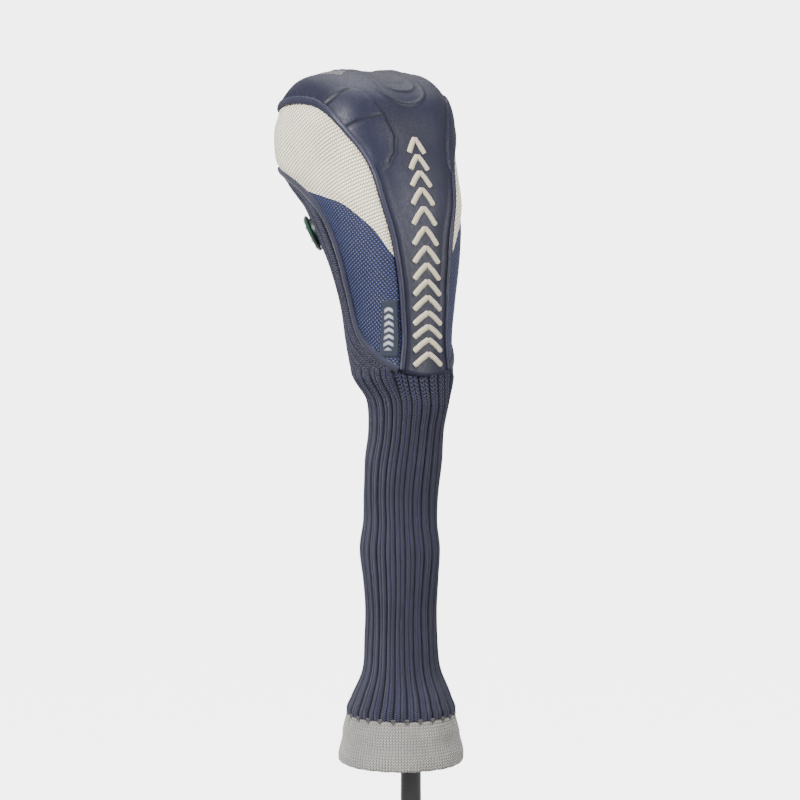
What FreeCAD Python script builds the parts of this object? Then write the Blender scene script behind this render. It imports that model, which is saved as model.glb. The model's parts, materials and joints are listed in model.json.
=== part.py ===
import FreeCAD, Part
import os

import Sketcher

# Fairway wood with its head cover on, standing grip down and head up.
# Origin: centre of the grip's flat butt end. +Z runs up the shaft axis, -X is the way the toe points,
# and the cover's spine faces +X. Millimetres and degrees.

Vec = FreeCAD.Vector

DIMENSIONS = {
    # club
    "club_length": 1092.0,       # butt end to the sole, along the shaft axis
    "lie_angle": 57.0,           # shaft axis to the sole plane
    "loft_angle": 15.0,
    "head_twist": 18.0,          # head turned about the shaft to sit centred in the cover
    # head
    "head_length": 90.0,         # heel to toe
    "head_depth": 65.0,          # face to back
    "head_height": 36.0,         # sole to crown
    "heel_reach": 7.5,          # heel beyond the shaft axis
    "face_progress": 13.0,       # face ahead of the shaft axis
    "head_wall": 1.5,
    "face_thickness": 2.8,
    "face_bulge_radius": 280.0,
    "sole_camber_radius": 240.0,
    "face_plate_half_width": 27.0,
    "face_plate_half_height": 12.0,
    "groove_width": 0.8,
    "groove_depth": 0.4,
    "groove_pitch": 4.0,
    "crown_plate_half_length": 35.0,
    "crown_plate_half_depth": 23.0,
    "sole_weight_radius": 7.0,
    "sole_weight_height": 6.0,
    # hosel, ferrule and shaft
    "hosel_wall": 2.3,
    "hosel_length": 58.0,        # sole to the hosel's end, along the shaft axis
    "hosel_flare": 1.4,          # wider than the hosel, where it meets the head
    "hosel_bore_depth": 34.0,
    "bond_gap": 0.05,
    "tip_gap": 1.0,
    "ferrule_length": 20.0,
    "ferrule_lip": 0.6,
    "tip_radius": 4.25,
    "tip_wall": 1.6,
    "tip_parallel": 75.0,
    "butt_radius": 7.6,
    "butt_wall": 1.1,
    "butt_parallel": 400.0,
    "tip_plug_length": 8.0,
    # grip
    "grip_length": 267.0,
    "grip_mouth_wall": 1.4,
    "grip_butt_wall": 5.5,
    "grip_tape": 0.2,
    "cap_height": 10.0,
    "cap_overhang": 1.3,
    "cap_floor": 3.5,
    "cap_edge": 2.0,
    "vent_radius": 1.0,
    # cover: where the hood's pattern sits from the point where the shaft axis meets the sole
    "hood_rise": 8.0,
    "hood_shift_x": 3.3,
    "hood_shift_y": -2.3,
    # cover: layers of the hood, from the outside in
    "skin_thickness": 1.2,
    "shell_thickness": 2.8,
    "lining_gap": 0.2,
    "lining_thickness": 0.8,
    "piping_width": 3.0,
    "piping_stand": 1.3,
    "binding_width": 3.6,
    "label_thickness": 0.6,
    "thread_height": 0.8,
    # cover: sock
    "sock_length": 183.0,
    "sock_radius": 20.0,
    "sock_wall": 3.0,
    "sock_shift_x": -5.0,        # the slack sock hangs off the shaft's centre line
    "sock_shift_y": -3.0,
    "cuff_length": 26.0,
    "cuff_radius": 34.0,
    "elastic_width": 8.0,
    "elastic_thickness": 1.0,
    # cover: number dial
    "dial_radius": 10.5,
    "dial_thickness": 2.6,
    "dial_base_radius": 8.0,
    "dial_base_height": 0.5,
    "dial_base_depth": 2.2,
    "dial_clearance": 0.3,
    "rivet_radius": 1.8,
    "rivet_head_radius": 3.2,
    "rivet_head_height": 1.0,
}

doc = FreeCAD.newDocument("fairway_wood")
sheet = doc.addObject("Spreadsheet::Sheet", "dims")
for row, (alias, value) in enumerate(DIMENSIONS.items(), start=1):
    sheet.set(f"A{row}", alias)
    sheet.set(f"B{row}", str(value))
    sheet.setAlias(f"B{row}", alias)
doc.recompute()


def size(alias):
    return float(sheet.get(alias))


def cell(expression):
    """Expression text with every alias written as dims.alias."""
    words = expression.replace("(", "( ").replace(")", " )").split()
    return " ".join(f"dims.{word}" if word in DIMENSIONS else word for word in words)


def bind(item, **properties):
    for name, expression in properties.items():
        item.setExpression(name.replace("__", "."), cell(expression))
    return item


def feature(name, shape, placement=None):
    item = doc.addObject("Part::Feature", name)
    item.Shape = shape
    if placement is not None:
        item.Placement = placement
    return item


def cut(name, base, tool):
    item = doc.addObject("Part::Cut", name)
    item.Base = base
    item.Tool = tool
    item.Refine = False
    return item


def common(name, *shapes):
    item = doc.addObject("Part::MultiCommon", name)
    item.Shapes = list(shapes)
    item.Refine = False
    return item


def fuse(name, *shapes):
    item = doc.addObject("Part::MultiFuse", name)
    item.Shapes = list(shapes)
    item.Refine = False
    return item


def revolved(label, outline):
    """A body turned about Z from a closed outline of (radius, height) expressions."""
    body = doc.addObject("PartDesign::Body", label)
    sketch = body.newObject("Sketcher::SketchObject", label + "_outline")
    plane = next(f for f in body.Origin.OriginFeatures if f.Role == "XZ_Plane")
    sketch.AttachmentSupport = [(plane, "")]
    sketch.MapMode = "FlatFace"
    count = len(outline)
    guess = [Vec(5 + i, 10 * i, 0) for i in range(count)]
    for i in range(count):
        sketch.addGeometry(Part.LineSegment(guess[i], guess[(i + 1) % count]), False)
    for i in range(count):
        sketch.addConstraint(Sketcher.Constraint("Coincident", i, 2, (i + 1) % count, 1))
    for i, (radius, height) in enumerate(outline):
        for kind, text, start in (("DistanceX", radius, guess[i].x), ("DistanceY", height, guess[i].y)):
            if text == "0":
                axis = -2 if kind == "DistanceX" else -1
                sketch.addConstraint(Sketcher.Constraint("PointOnObject", i, 1, axis))
                continue
            index = sketch.addConstraint(Sketcher.Constraint(kind, -1, 1, i, 1, start))
            sketch.setExpression(f"Constraints[{index}]", cell(text))
    doc.recompute()
    turn = body.newObject("PartDesign::Revolution", label + "_turn")
    turn.Profile = sketch
    turn.ReferenceAxis = (sketch, ["V_Axis"])
    turn.Angle = 360.0
    body.Tip = turn
    return body


parts = {}


def keep(node, item):
    item.Label = node
    parts[node] = item
    return item


# ---- grip and shaft -------------------------------------------------------------------------------
TAPE_OUTSIDE = "butt_radius + grip_tape"
GRIP_BUTT = f"{TAPE_OUTSIDE} + grip_butt_wall"
GRIP_MOUTH = f"{TAPE_OUTSIDE} + grip_mouth_wall"
CAP_RADIUS = f"{GRIP_BUTT} + cap_overhang"

keep("grip_end_cap", revolved("cap_body", [
    ("vent_radius", "0"),
    (f"{CAP_RADIUS} - cap_edge", "0"),
    (CAP_RADIUS, "cap_edge"),
    (CAP_RADIUS, "cap_height - cap_edge"),
    (GRIP_BUTT, "cap_height"),
    (TAPE_OUTSIDE, "cap_height"),
    (TAPE_OUTSIDE, "cap_floor"),
    ("vent_radius", "cap_floor"),
]))

GRIP_STEP = "( grip_butt_wall - grip_mouth_wall ) / 4"
keep("grip_sleeve", revolved("sleeve_body", [
    (TAPE_OUTSIDE, "cap_height"),
    (GRIP_BUTT, "cap_height"),
    (f"{GRIP_BUTT} - {GRIP_STEP}", "grip_length * 0.22"),
    (f"{GRIP_MOUTH} + {GRIP_STEP} * 2", "grip_length * 0.46"),
    (f"{GRIP_MOUTH} + {GRIP_STEP} / 2", "grip_length * 0.8"),
    (GRIP_MOUTH, "grip_length"),
    (TAPE_OUTSIDE, "grip_length"),
]))

keep("grip_tape", revolved("tape_body", [
    ("butt_radius", "cap_floor"),
    (TAPE_OUTSIDE, "cap_floor"),
    (TAPE_OUTSIDE, "grip_length - cap_floor"),
    ("butt_radius", "grip_length - cap_floor"),
]))

TIP_END = "club_length - hosel_length + hosel_bore_depth - tip_gap"
keep("shaft", revolved("shaft_body", [
    ("butt_radius", "cap_floor"),
    ("butt_radius", "butt_parallel"),
    ("tip_radius", f"{TIP_END} - tip_parallel"),
    ("tip_radius", TIP_END),
    ("tip_radius - tip_wall", TIP_END),
    ("tip_radius - tip_wall", f"{TIP_END} - tip_parallel"),
    ("butt_radius - butt_wall", "butt_parallel"),
    ("butt_radius - butt_wall", "cap_floor"),
]))

plug = doc.addObject("Part::Cylinder", "plug_body")
bind(plug, Radius="tip_radius - tip_wall", Height="tip_plug_length",
     Placement__Base__z=f"{TIP_END} - tip_plug_length")
keep("shaft_tip_plug", plug)

HOSEL_END = "club_length - hosel_length"
HOSEL_BORE = "tip_radius + bond_gap"
HOSEL_RADIUS = f"{HOSEL_BORE} + hosel_wall"
keep("ferrule", revolved("ferrule_body", [
    (HOSEL_BORE, HOSEL_END),
    (HOSEL_RADIUS, HOSEL_END),
    (f"{HOSEL_RADIUS} - hosel_wall * 0.05", f"{HOSEL_END} - ferrule_length * 0.25"),
    (f"{HOSEL_BORE} + ferrule_lip + hosel_wall * 0.3", f"{HOSEL_END} - ferrule_length * 0.7"),
    (f"{HOSEL_BORE} + ferrule_lip", f"{HOSEL_END} - ferrule_length"),
    (HOSEL_BORE, f"{HOSEL_END} - ferrule_length"),
]))

# ---- club head, in its own frame: +X toe, +Y face, +Z crown, origin where the shaft axis meets the sole
head_half = size("head_length") / 2
blob_centre_x = f"head_length / 2 - heel_reach"
BLOB_DEPTH = "( head_depth * 0.6 )"
BLOB_Y = f"( face_progress - head_depth + {BLOB_DEPTH} )"
BLOB_RISE = "( head_height * 0.34 )"
shaft_line = FreeCAD.Rotation(Vec(0, 1, 0), size("lie_angle") - 90)      # +Z onto the shaft axis
face_turn = FreeCAD.Rotation(Vec(1, 0, 0), -(90 - size("loft_angle")))   # +Z onto the face normal
face_normal = face_turn.multVec(Vec(0, 0, 1))
face_middle = Vec(head_half - size("heel_reach"), size("face_progress"), size("head_height") * 0.42)


def blob(name, inset):
    """The head's rounded form, taken in by inset on every side."""
    item = doc.addObject("Part::Ellipsoid", name)
    item.Angle1, item.Angle2, item.Angle3 = -90, 90, 360
    return bind(item, Radius1=f"head_height - {BLOB_RISE} - {inset}", Radius2=f"head_length / 2 - {inset}",
                Radius3=f"{BLOB_DEPTH} - {inset}", Placement__Base__x=blob_centre_x,
                Placement__Base__y=BLOB_Y, Placement__Base__z=BLOB_RISE)


def face_ball(name, inset):
    """The bulged face is a patch of this ball."""
    item = doc.addObject("Part::Sphere", name)
    bind(item, Radius=f"face_bulge_radius - {inset}")
    item.Placement.Base = face_middle - face_normal * size("face_bulge_radius")
    return item


def sole_ball(name, inset):
    item = doc.addObject("Part::Sphere", name)
    return bind(item, Radius=f"sole_camber_radius - {inset}", Placement__Base__x=blob_centre_x,
                Placement__Base__y=BLOB_Y, Placement__Base__z="sole_camber_radius")


def along_shaft(name, kind, start, **sizes):
    item = bind(doc.addObject(kind, name), **sizes)
    item.Placement = FreeCAD.Placement(shaft_line.multVec(Vec(0, 0, start)), shaft_line)
    return item


HOSEL_START = 0.11      # share of the hosel's length where it rises out of the head
hosel_start = size("hosel_length") * HOSEL_START
hosel = along_shaft("hosel", "Part::Cylinder", hosel_start, Radius=HOSEL_RADIUS,
                    Height=f"hosel_length * {1 - HOSEL_START}")
flare = along_shaft("hosel_flare", "Part::Cone", hosel_start, Radius1=f"{HOSEL_RADIUS} + hosel_flare",
                    Radius2=HOSEL_RADIUS, Height="hosel_length * 0.45")
bore = along_shaft("hosel_bore", "Part::Cylinder", size("hosel_length") - size("hosel_bore_depth"),
                   Radius=HOSEL_BORE, Height="hosel_bore_depth")

outer_lump = common("head_lump", blob("blob_outer", "0"), face_ball("face_outer", "0"))
head_outer = common("head_outer", fuse("head_with_hosel", outer_lump, flare, hosel), sole_ball("sole_outer", "0"))
cavity_lump = common("cavity_lump", blob("blob_inner", "head_wall"), face_ball("face_inner", "face_thickness"),
                     sole_ball("sole_inner", "head_wall"))
cavity = cut("head_cavity", cavity_lump, hosel)
head_shell = cut("head_shell", head_outer, fuse("head_voids", cavity, bore))

face_oval = doc.addObject("Part::Ellipse", "face_oval")
bind(face_oval, MajorRadius="face_plate_half_width", MinorRadius="face_plate_half_height")
face_oval.Placement = FreeCAD.Placement(face_middle - face_normal * (size("face_thickness") * 3), face_turn)
face_prism = doc.addObject("Part::Extrusion", "face_prism")
face_prism.Base = face_oval
face_prism.DirMode = "Custom"
face_prism.Dir = face_normal
bind(face_prism, LengthFwd="face_thickness * 5")
face_prism.Solid = True

crown_oval = doc.addObject("Part::Ellipse", "crown_oval")
bind(crown_oval, MajorRadius="crown_plate_half_length", MinorRadius="crown_plate_half_depth",
     Placement__Base__x=blob_centre_x, Placement__Base__y=f"{BLOB_Y} - face_progress * 0.4",
     Placement__Base__z="head_height * 0.45")
crown_prism = doc.addObject("Part::Extrusion", "crown_prism")
crown_prism.Base = crown_oval
crown_prism.DirMode = "Custom"
crown_prism.Dir = Vec(0, 0, 1)
bind(crown_prism, LengthFwd="head_height")
crown_prism.Solid = True

weight_slug = bind(doc.addObject("Part::Cylinder", "weight_slug"), Radius="sole_weight_radius",
                   Height="sole_weight_height * 2", Placement__Base__x=blob_centre_x,
                   Placement__Base__y=f"{BLOB_Y} - {BLOB_DEPTH} * 0.5",
                   Placement__Base__z="- sole_weight_height")

GROOVES = 6
slabs = []
for i in range(GROOVES):
    slab = bind(doc.addObject("Part::Box", f"groove_slab_{i}"), Length="face_plate_half_width * 1.3",
                Width="groove_width", Height="face_thickness * 4")
    rise = (i - (GROOVES - 1) / 2) * size("groove_pitch")
    corner = Vec(-size("face_plate_half_width") * 0.65, rise, -2 * size("face_thickness"))
    slab.Placement = FreeCAD.Placement(face_middle + face_turn.multVec(corner), face_turn)
    slabs.append(slab)
groove_band = cut("groove_band", face_ball("groove_outer", "0"), face_ball("groove_inner", "groove_depth"))
grooves = common("grooves", groove_band, fuse("groove_slabs", *slabs))

seat_in_club = FreeCAD.Placement(
    Vec(0, 0, size("club_length")),
    FreeCAD.Rotation(Vec(0, 0, 1), -size("head_twist"))
    * FreeCAD.Rotation(Vec(0, 1, 0), 270 - size("lie_angle")))

head_parts = {
    "face_plate": cut("face_plate_body", common("face_blank", head_shell, face_prism), grooves),
    "crown_plate": common("crown_body", head_shell, crown_prism),
    "sole_weight": common("weight_body", head_outer, weight_slug),
    "head_body": cut("head_casting", head_shell, fuse("head_cutters", face_prism, crown_prism, weight_slug)),
}
for node, item in head_parts.items():
    item.Placement = seat_in_club
    keep(node, item)

# ---- cover: the hood's form --------------------------------------------------------------------------
# Slices through the hood from the neck to the toe. Each holds the Y axis and runs from a front point on
# the spine to a rear point under the toe: (front x, front z, rear x, rear z, half depth, squareness).
# The pattern is graded with the head it has to cover: its length, and what it spans across the hood.
PATTERN_LENGTH = 90.0
PATTERN_SPAN = 89.63
head_slant = FreeCAD.Rotation(Vec(0, 0, 1), size("head_twist")).multVec(Vec(1, 0, 0))
head_span = size("head_length") * head_slant.y + size("head_depth") * head_slant.x
grade_x = size("head_length") / PATTERN_LENGTH
grade_y = head_span / PATTERN_SPAN
hood_base = Vec(size("hood_shift_x"), size("hood_shift_y"), size("club_length") + size("hood_rise"))
SLICES = [
    (17, -118, -31, -118, 28, 2.1),
    (16.5, -99, -38, -100, 29, 2.1),
    (16, -78, -40, -80, 31.5, 2.2),
    (14.5, -52, -44, -60, 36.5, 2.3),
    (11, -22, -53, -43, 40.5, 2.5),
    (5, 4, -63, -31, 42, 2.5),
    (-4.5, 31, -73, -20, 43, 3.1),
    (-26, 46.5, -81, -11, 43, 3.2),
    (-50, 51.5, -86, -3, 40, 3.0),
    (-71, 47.5, -89, 5, 34, 2.6),
    (-83, 38, -91, 12, 22, 2.3),
    (-88, 25, -91.5, 18, 9, 2.0),
]
TIP_SHARE = {8: 0.3, 9: 0.6, 10: 0.9, 11: 1.0}     # how far the toe slices draw back with an inset
SLICE_POINTS = 20


def oval(centre, along, across, half_long, half_wide, squareness):
    """A closed rounded outline; squareness 2 is an ellipse."""
    power = 2 / squareness
    points = []
    for i in range(SLICE_POINTS):
        turn = FreeCAD.Rotation(Vec(0, 0, 1), 360.0 * i / SLICE_POINTS).multVec(Vec(1, 0, 0))
        long_share = abs(turn.x) ** power * (1 if turn.x >= 0 else -1)
        wide_share = abs(turn.y) ** power * (1 if turn.y >= 0 else -1)
        points.append(centre + along * (half_long * long_share) + across * (half_wide * wide_share))
    curve = Part.BSplineCurve()
    curve.interpolate(Points=points, PeriodicFlag=True, Parameters=[float(i) for i in range(SLICE_POINTS + 1)])
    return Part.Wire([curve.toShape()])


NECK_OVERRUN = 2.0      # the forms run on below the neck and are trimmed there


def hood_form(name, inset):
    """The hood's form taken in by inset."""
    wires = []
    for i, (fx, fz, rx, rz, half, squareness) in enumerate(SLICES):
        front = hood_base + Vec(fx, 0, fz) * grade_x
        rear = hood_base + Vec(rx, 0, rz) * grade_x
        along = (front - rear).normalize()
        centre = (front + rear) / 2 + Vec(inset * TIP_SHARE.get(i, 0), 0, -NECK_OVERRUN if i == 0 else 0)
        half_long = front.distanceToPoint(rear) / 2 - inset
        half_wide = half * grade_y - inset
        if i == len(SLICES) - 1:
            half_long, half_wide = max(half_long, 1.5), max(half_wide, 3.0)
        wires.append(oval(centre, along, Vec(0, 1, 0), half_long, half_wide, squareness))
    return feature(name, Part.makeLoft(wires, True, False))


# Seams, drawn in the XZ plane and carried through the hood along Y: the piped seam beside the spine and
# round the top, the bound edge of the mouth, and the join of the light and blue side cloths.
TOP_SEAM = [(12.4, -121), (13.0, -94), (12.2, -61), (8.6, -32), (1.5, -7), (-12, 14), (-27, 25), (-45, 29),
            (-68, 29.5), (-84, 27), (-97, 24)]
PIPING_SHARES = [0.42, 0.42, 0.45, 0.6, 0.8, 1, 1, 1, 1, 1, 1]     # narrower where the hood turns away from Y
MOUTH_EDGE = [(16, -121), (4, -110), (-5, -102), (-11, -91), (-13.5, -75), (-15, -60), (-19, -45),
              (-26, -33), (-38, -22), (-58, -13), (-78, -8), (-97, -7)]
CLOTH_JOIN = [(-45, -17), (-22, -21), (-9, -26), (0.5, -37), (6.6, -50), (16, -64)]
PATTERN_REACH = 110.0


def shifted(points, distance, shares=None):
    """The same line moved sideways, to its left as it runs, by distance or a share of it."""
    moved = []
    for i, (x, z) in enumerate(points):
        x0, z0 = points[max(i - 1, 0)]
        x1, z1 = points[min(i + 1, len(points) - 1)]
        step = distance * (shares[i] if shares else 1) / ((x1 - x0) ** 2 + (z1 - z0) ** 2) ** 0.5
        moved.append((x - (z1 - z0) * step, z + (x1 - x0) * step))
    return moved


def zone(name, line, corners, low_y=-PATTERN_REACH, high_y=PATTERN_REACH):
    """A block through the hood, bounded by a smooth line and closed round the given corners."""
    start = hood_base + Vec(0, low_y, 0)
    rim = [start + Vec(x, 0, z) * grade_x for x, z in [line[-1]] + corners + [line[0]]]
    curve = Part.BSplineCurve()
    curve.interpolate(Points=[start + Vec(x, 0, z) * grade_x for x, z in line])
    edges = [curve.toShape()] + [Part.makeLine(a, b) for a, b in zip(rim, rim[1:])]
    return feature(name, Part.Face(Part.Wire(edges)).extrude(Vec(0, high_y - low_y, 0)))


shell_in = size("shell_thickness")
lining_out = shell_in + size("lining_gap")
lining_in = lining_out + size("lining_thickness")
form_piping = hood_form("form_piping", -size("piping_stand"))
form_thread = hood_form("form_thread", -size("thread_height"))
form_label = hood_form("form_label", -size("label_thickness"))
form_outer = hood_form("form_outer", 0.0)
form_skin = hood_form("form_skin", size("skin_thickness"))
form_shell = hood_form("form_shell", shell_in)
form_lining = hood_form("form_lining", lining_out)
form_space = hood_form("form_space", lining_in)

top_corners = [(-120, 80), (60, 80), (60, -121)]
mouth_corners = [(-120, -7), (-120, -140), (16, -140)]
neck_slab = zone("neck_slab", [(-130, -118), (0, -118), (70, -118)], [(70, 90), (-130, 90)])
near_half = zone("near_half", [(-120, -140), (0, -140), (60, -140)], [(60, 80), (-120, 80)], high_y=0.0)
light_zone = zone("light_zone", CLOTH_JOIN, [(60, 80), (-120, 80), (-120, -17)])
top_zone = zone("top_zone", TOP_SEAM, top_corners)
top_zone_wide = zone("top_zone_wide", shifted(TOP_SEAM, size("piping_width"), PIPING_SHARES), top_corners)
mouth_zone = zone("mouth_zone", MOUTH_EDGE, mouth_corners)
mouth_zone_wide = zone("mouth_zone_wide", shifted(MOUTH_EDGE, -size("binding_width")), mouth_corners)

mouth_all = fuse("mouth_all", mouth_zone, mouth_zone_wide)
top_all = fuse("top_all", top_zone, top_zone_wide)
top_region = cut("top_region", common("top_above", top_zone, neck_slab), mouth_all)
piping_region = cut("piping_region", common("piping_above", top_all, neck_slab),
                    fuse("piping_bounds", top_zone, mouth_all))
binding_region = cut("binding_region", common("binding_above", mouth_all, neck_slab),
                     fuse("binding_bounds", mouth_zone, top_all))
mouth_region = cut("mouth_region", common("mouth_above", mouth_zone, neck_slab), top_all)
side_region = cut("side_region", neck_slab, fuse("side_bounds", top_all, mouth_all))
lining_region = cut("lining_region", neck_slab, mouth_all)
light_region = common("light_region", side_region, light_zone)
blue_region = cut("blue_region", side_region, light_zone)

shell = cut("hood_shell", form_outer, form_shell)
raised = cut("hood_raised", form_piping, form_shell)
keep("top_panel", common("top_skin", cut("hood_skin", form_outer, form_skin), top_region))
keep("top_panel_foam", common("top_foam", cut("hood_foam", form_skin, form_shell), top_region))
keep("top_piping", common("piping_band", raised, piping_region))
keep("mouth_binding", common("binding_band", raised, binding_region))
keep("light_panel_left", common("light_left", shell, common("light_near", light_region, near_half)))
keep("light_panel_right", common("light_right", shell, cut("light_far", light_region, near_half)))
keep("blue_panel_left", common("blue_left", shell, common("blue_near", blue_region, near_half)))
keep("blue_panel_right", common("blue_right", shell, cut("blue_far", blue_region, near_half)))
keep("hood_lining", common("lining_band", cut("hood_liner", form_lining, form_space), lining_region))

LABEL_CORNERS = [(5.4, -103), (8.4, -103), (11.4, -103)], [(11.4, -77), (5.4, -77)]
label_zone = zone("label_zone", *LABEL_CORNERS, high_y=0.0)
keep("side_label", common("label_band", cut("label_layer", form_label, form_outer), label_zone))
THREAD_REACH = 11.0
thread_zone = zone("thread_zone", [(0, -107), (30, -107), (60, -107)], [(60, 6), (0, 6)],
                   low_y=-THREAD_REACH, high_y=THREAD_REACH)
keep("embroidery", common("thread_band", cut("thread_layer", form_thread, form_outer), thread_zone))

# ---- cover: knitted sock and cuff ------------------------------------------------------------------
# Rings down the sock: (share of the sock's length, centre x, centre y, swell along x, swell along y).
front_x, front_z, rear_x, rear_z, neck_half, neck_squareness = SLICES[0]
neck_z = hood_base.z + front_z * grade_x
shift_x, shift_y = size("sock_shift_x"), size("sock_shift_y")
SOCK_SWELLS = [(0.16, 1.015), (0.25, 1.04), (0.34, 1.0), (0.43, 0.985), (0.51, 1.065), (0.6, 1.0),
               (0.69, 0.945), (0.78, 0.97), (0.87, 1.05), (0.955, 1.36)]
CUFF_SWELLS = [(0.0, 0.885), (0.35, 0.94), (0.75, 1.0), (1.0, 0.975)]
NECK_SETTLE = 0.07      # share of the sock's length over which the neck's oval turns into the round sock


def tube(name, rings, inset, overrun):
    """A loft down through (centre x, centre y, height, half length along x, half width along y) rings."""
    wires = []
    for i, (x, y, z, half_x, half_y, squareness) in enumerate(rings):
        reach = overrun if i == 0 else -overrun if i == len(rings) - 1 else 0
        wires.append(oval(Vec(x, y, z + reach), Vec(1, 0, 0), Vec(0, 1, 0), half_x - inset, half_y - inset,
                          squareness))
    return feature(name, Part.makeLoft(wires, True, False))


sock_rings = [
    (hood_base.x + (front_x + rear_x) / 2 * grade_x, hood_base.y, neck_z, (front_x - rear_x) / 2 * grade_x, neck_half * grade_y,
     neck_squareness),
    (shift_x * 0.5, shift_y * 0.6, neck_z - size("sock_length") * NECK_SETTLE, size("sock_radius") * 1.09,
     size("sock_radius") * 1.13, 2.0),
]
sock_rings += [(shift_x, shift_y, neck_z - size("sock_length") * share, size("sock_radius") * swell,
                size("sock_radius") * swell, 2.0) for share, swell in SOCK_SWELLS]
cuff_z = neck_z - size("sock_length")
cuff_rings = [(shift_x, shift_y, cuff_z - size("cuff_length") * share, size("cuff_radius") * swell,
               size("cuff_radius") * swell, 2.0) for share, swell in CUFF_SWELLS]
sock_rings.append(cuff_rings[0])

wall = size("sock_wall")
sock_out = tube("sock_out", sock_rings, 0.0, 0.0)
sock_in = tube("sock_in", sock_rings, wall, 1.0)
keep("knit_sock", cut("sock_body", sock_out, sock_in))
cuff_out = tube("cuff_out", cuff_rings, 0.0, 0.0)
cuff_in = tube("cuff_in", cuff_rings, wall, 1.0)
keep("knit_cuff", cut("cuff_body", cuff_out, cuff_in))
elastic_slot = doc.addObject("Part::Box", "elastic_slot")
bind(elastic_slot, Length="cuff_radius * 3", Width="cuff_radius * 3", Height="elastic_width",
     Placement__Base__x="cuff_radius * -1.5", Placement__Base__y="cuff_radius * -1.5")
elastic_slot.Placement.Base.z = neck_z - size("sock_length") * 0.16 - size("elastic_width") / 2
elastic_in = tube("elastic_in", sock_rings, wall + size("elastic_thickness"), 1.0)
keep("neck_elastic", common("elastic_body", cut("elastic_layer", sock_in, elastic_in), elastic_slot))

# ---- cover: number dial on the gusset ----------------------------------------------------------------
DIAL_SLICE = 4
DIAL_ANGLE = 230.0      # round the slice from the spine


def hood_point(i, degrees):
    """A point of the hood's outside on slice i."""
    fx, fz, rx, rz, half, squareness = SLICES[i]
    front, rear = Vec(fx, 0, fz) * grade_x, Vec(rx, 0, rz) * grade_x
    turn = FreeCAD.Rotation(Vec(0, 0, 1), degrees).multVec(Vec(1, 0, 0))
    power = 2 / squareness
    long_share = abs(turn.x) ** power * (1 if turn.x >= 0 else -1)
    wide_share = abs(turn.y) ** power * (1 if turn.y >= 0 else -1)
    middle = hood_base + (front + rear) / 2
    return middle + (front - rear) / 2 * long_share + Vec(0, half * grade_y * wide_share, 0)


dial_middle = hood_point(DIAL_SLICE, DIAL_ANGLE)
round_step = hood_point(DIAL_SLICE, DIAL_ANGLE + 4) - hood_point(DIAL_SLICE, DIAL_ANGLE - 4)
rise_step = hood_point(DIAL_SLICE + 1, DIAL_ANGLE) - hood_point(DIAL_SLICE - 1, DIAL_ANGLE)
dial_axis = round_step.cross(rise_step).normalize()
dial_seat = FreeCAD.Placement(dial_middle, FreeCAD.Rotation(Vec(0, 0, 1), dial_axis))

DISC_BOTTOM = "( dial_base_height + dial_clearance )"
DISC_TOP = "( dial_base_height + dial_clearance + dial_thickness )"
SINK_FLOOR = f"( {DISC_TOP} - rivet_head_height - dial_clearance )"
dial_parts = {
    "dial_base": [("rivet_radius", "- dial_base_depth"), ("dial_base_radius", "- dial_base_depth"),
                  ("dial_base_radius", "dial_base_height"), ("rivet_radius", "dial_base_height")],
    "dial_rivet": [("0", "- dial_base_depth"), ("rivet_radius", "- dial_base_depth"),
                   ("rivet_radius", f"{SINK_FLOOR} + dial_clearance"),
                   ("rivet_head_radius", f"{SINK_FLOOR} + dial_clearance"),
                   ("rivet_head_radius", f"{DISC_TOP} - 0.2 * rivet_head_height"),
                   ("rivet_head_radius * 0.8", DISC_TOP), ("0", DISC_TOP)],
    "dial_disc": [("rivet_radius + dial_clearance", DISC_BOTTOM), ("dial_radius * 0.94", DISC_BOTTOM),
                  ("dial_radius", f"{DISC_BOTTOM} + 0.25 * dial_thickness"),
                  ("dial_radius * 0.93", f"{DISC_BOTTOM} + 0.75 * dial_thickness"),
                  ("dial_radius * 0.6", DISC_TOP),
                  ("rivet_head_radius + dial_clearance", DISC_TOP),
                  ("rivet_head_radius + dial_clearance", SINK_FLOOR),
                  ("rivet_radius + dial_clearance", SINK_FLOOR)],
}
for node, outline in dial_parts.items():
    body = keep(node, revolved(node + "_body", outline))
    body.Placement = dial_seat

dial_slug = bind(doc.addObject("Part::Cylinder", "dial_slug"), Radius="dial_base_radius",
                 Height="dial_base_depth * 2")
dial_slug.Placement = FreeCAD.Placement(dial_middle - dial_axis * size("dial_base_depth"), dial_seat.Rotation)
keep("knit_gusset", cut("gusset_body", common("gusset_band", shell, mouth_region), dial_slug))


# ---- checks and files ----------------------------------------------------------------------------------
doc.recompute()
for item in doc.Objects:
    if {"Invalid", "Error"} & set(item.State):
        raise RuntimeError(f"{item.Label} did not compute")
os.makedirs("parts", exist_ok=True)
for node, item in parts.items():
    if item.Shape.isNull() or not item.Shape.isValid() or len(item.Shape.Solids) < 1:
        raise RuntimeError(f"{node} has no sound shape")
    item.Shape.exportStep(f"parts/{node}.step")
print(len(parts), "nodes written")
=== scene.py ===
import bisect
import functools
import json
import math

import bmesh
import bpy
from mathutils import Matrix, Vector, noise


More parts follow.
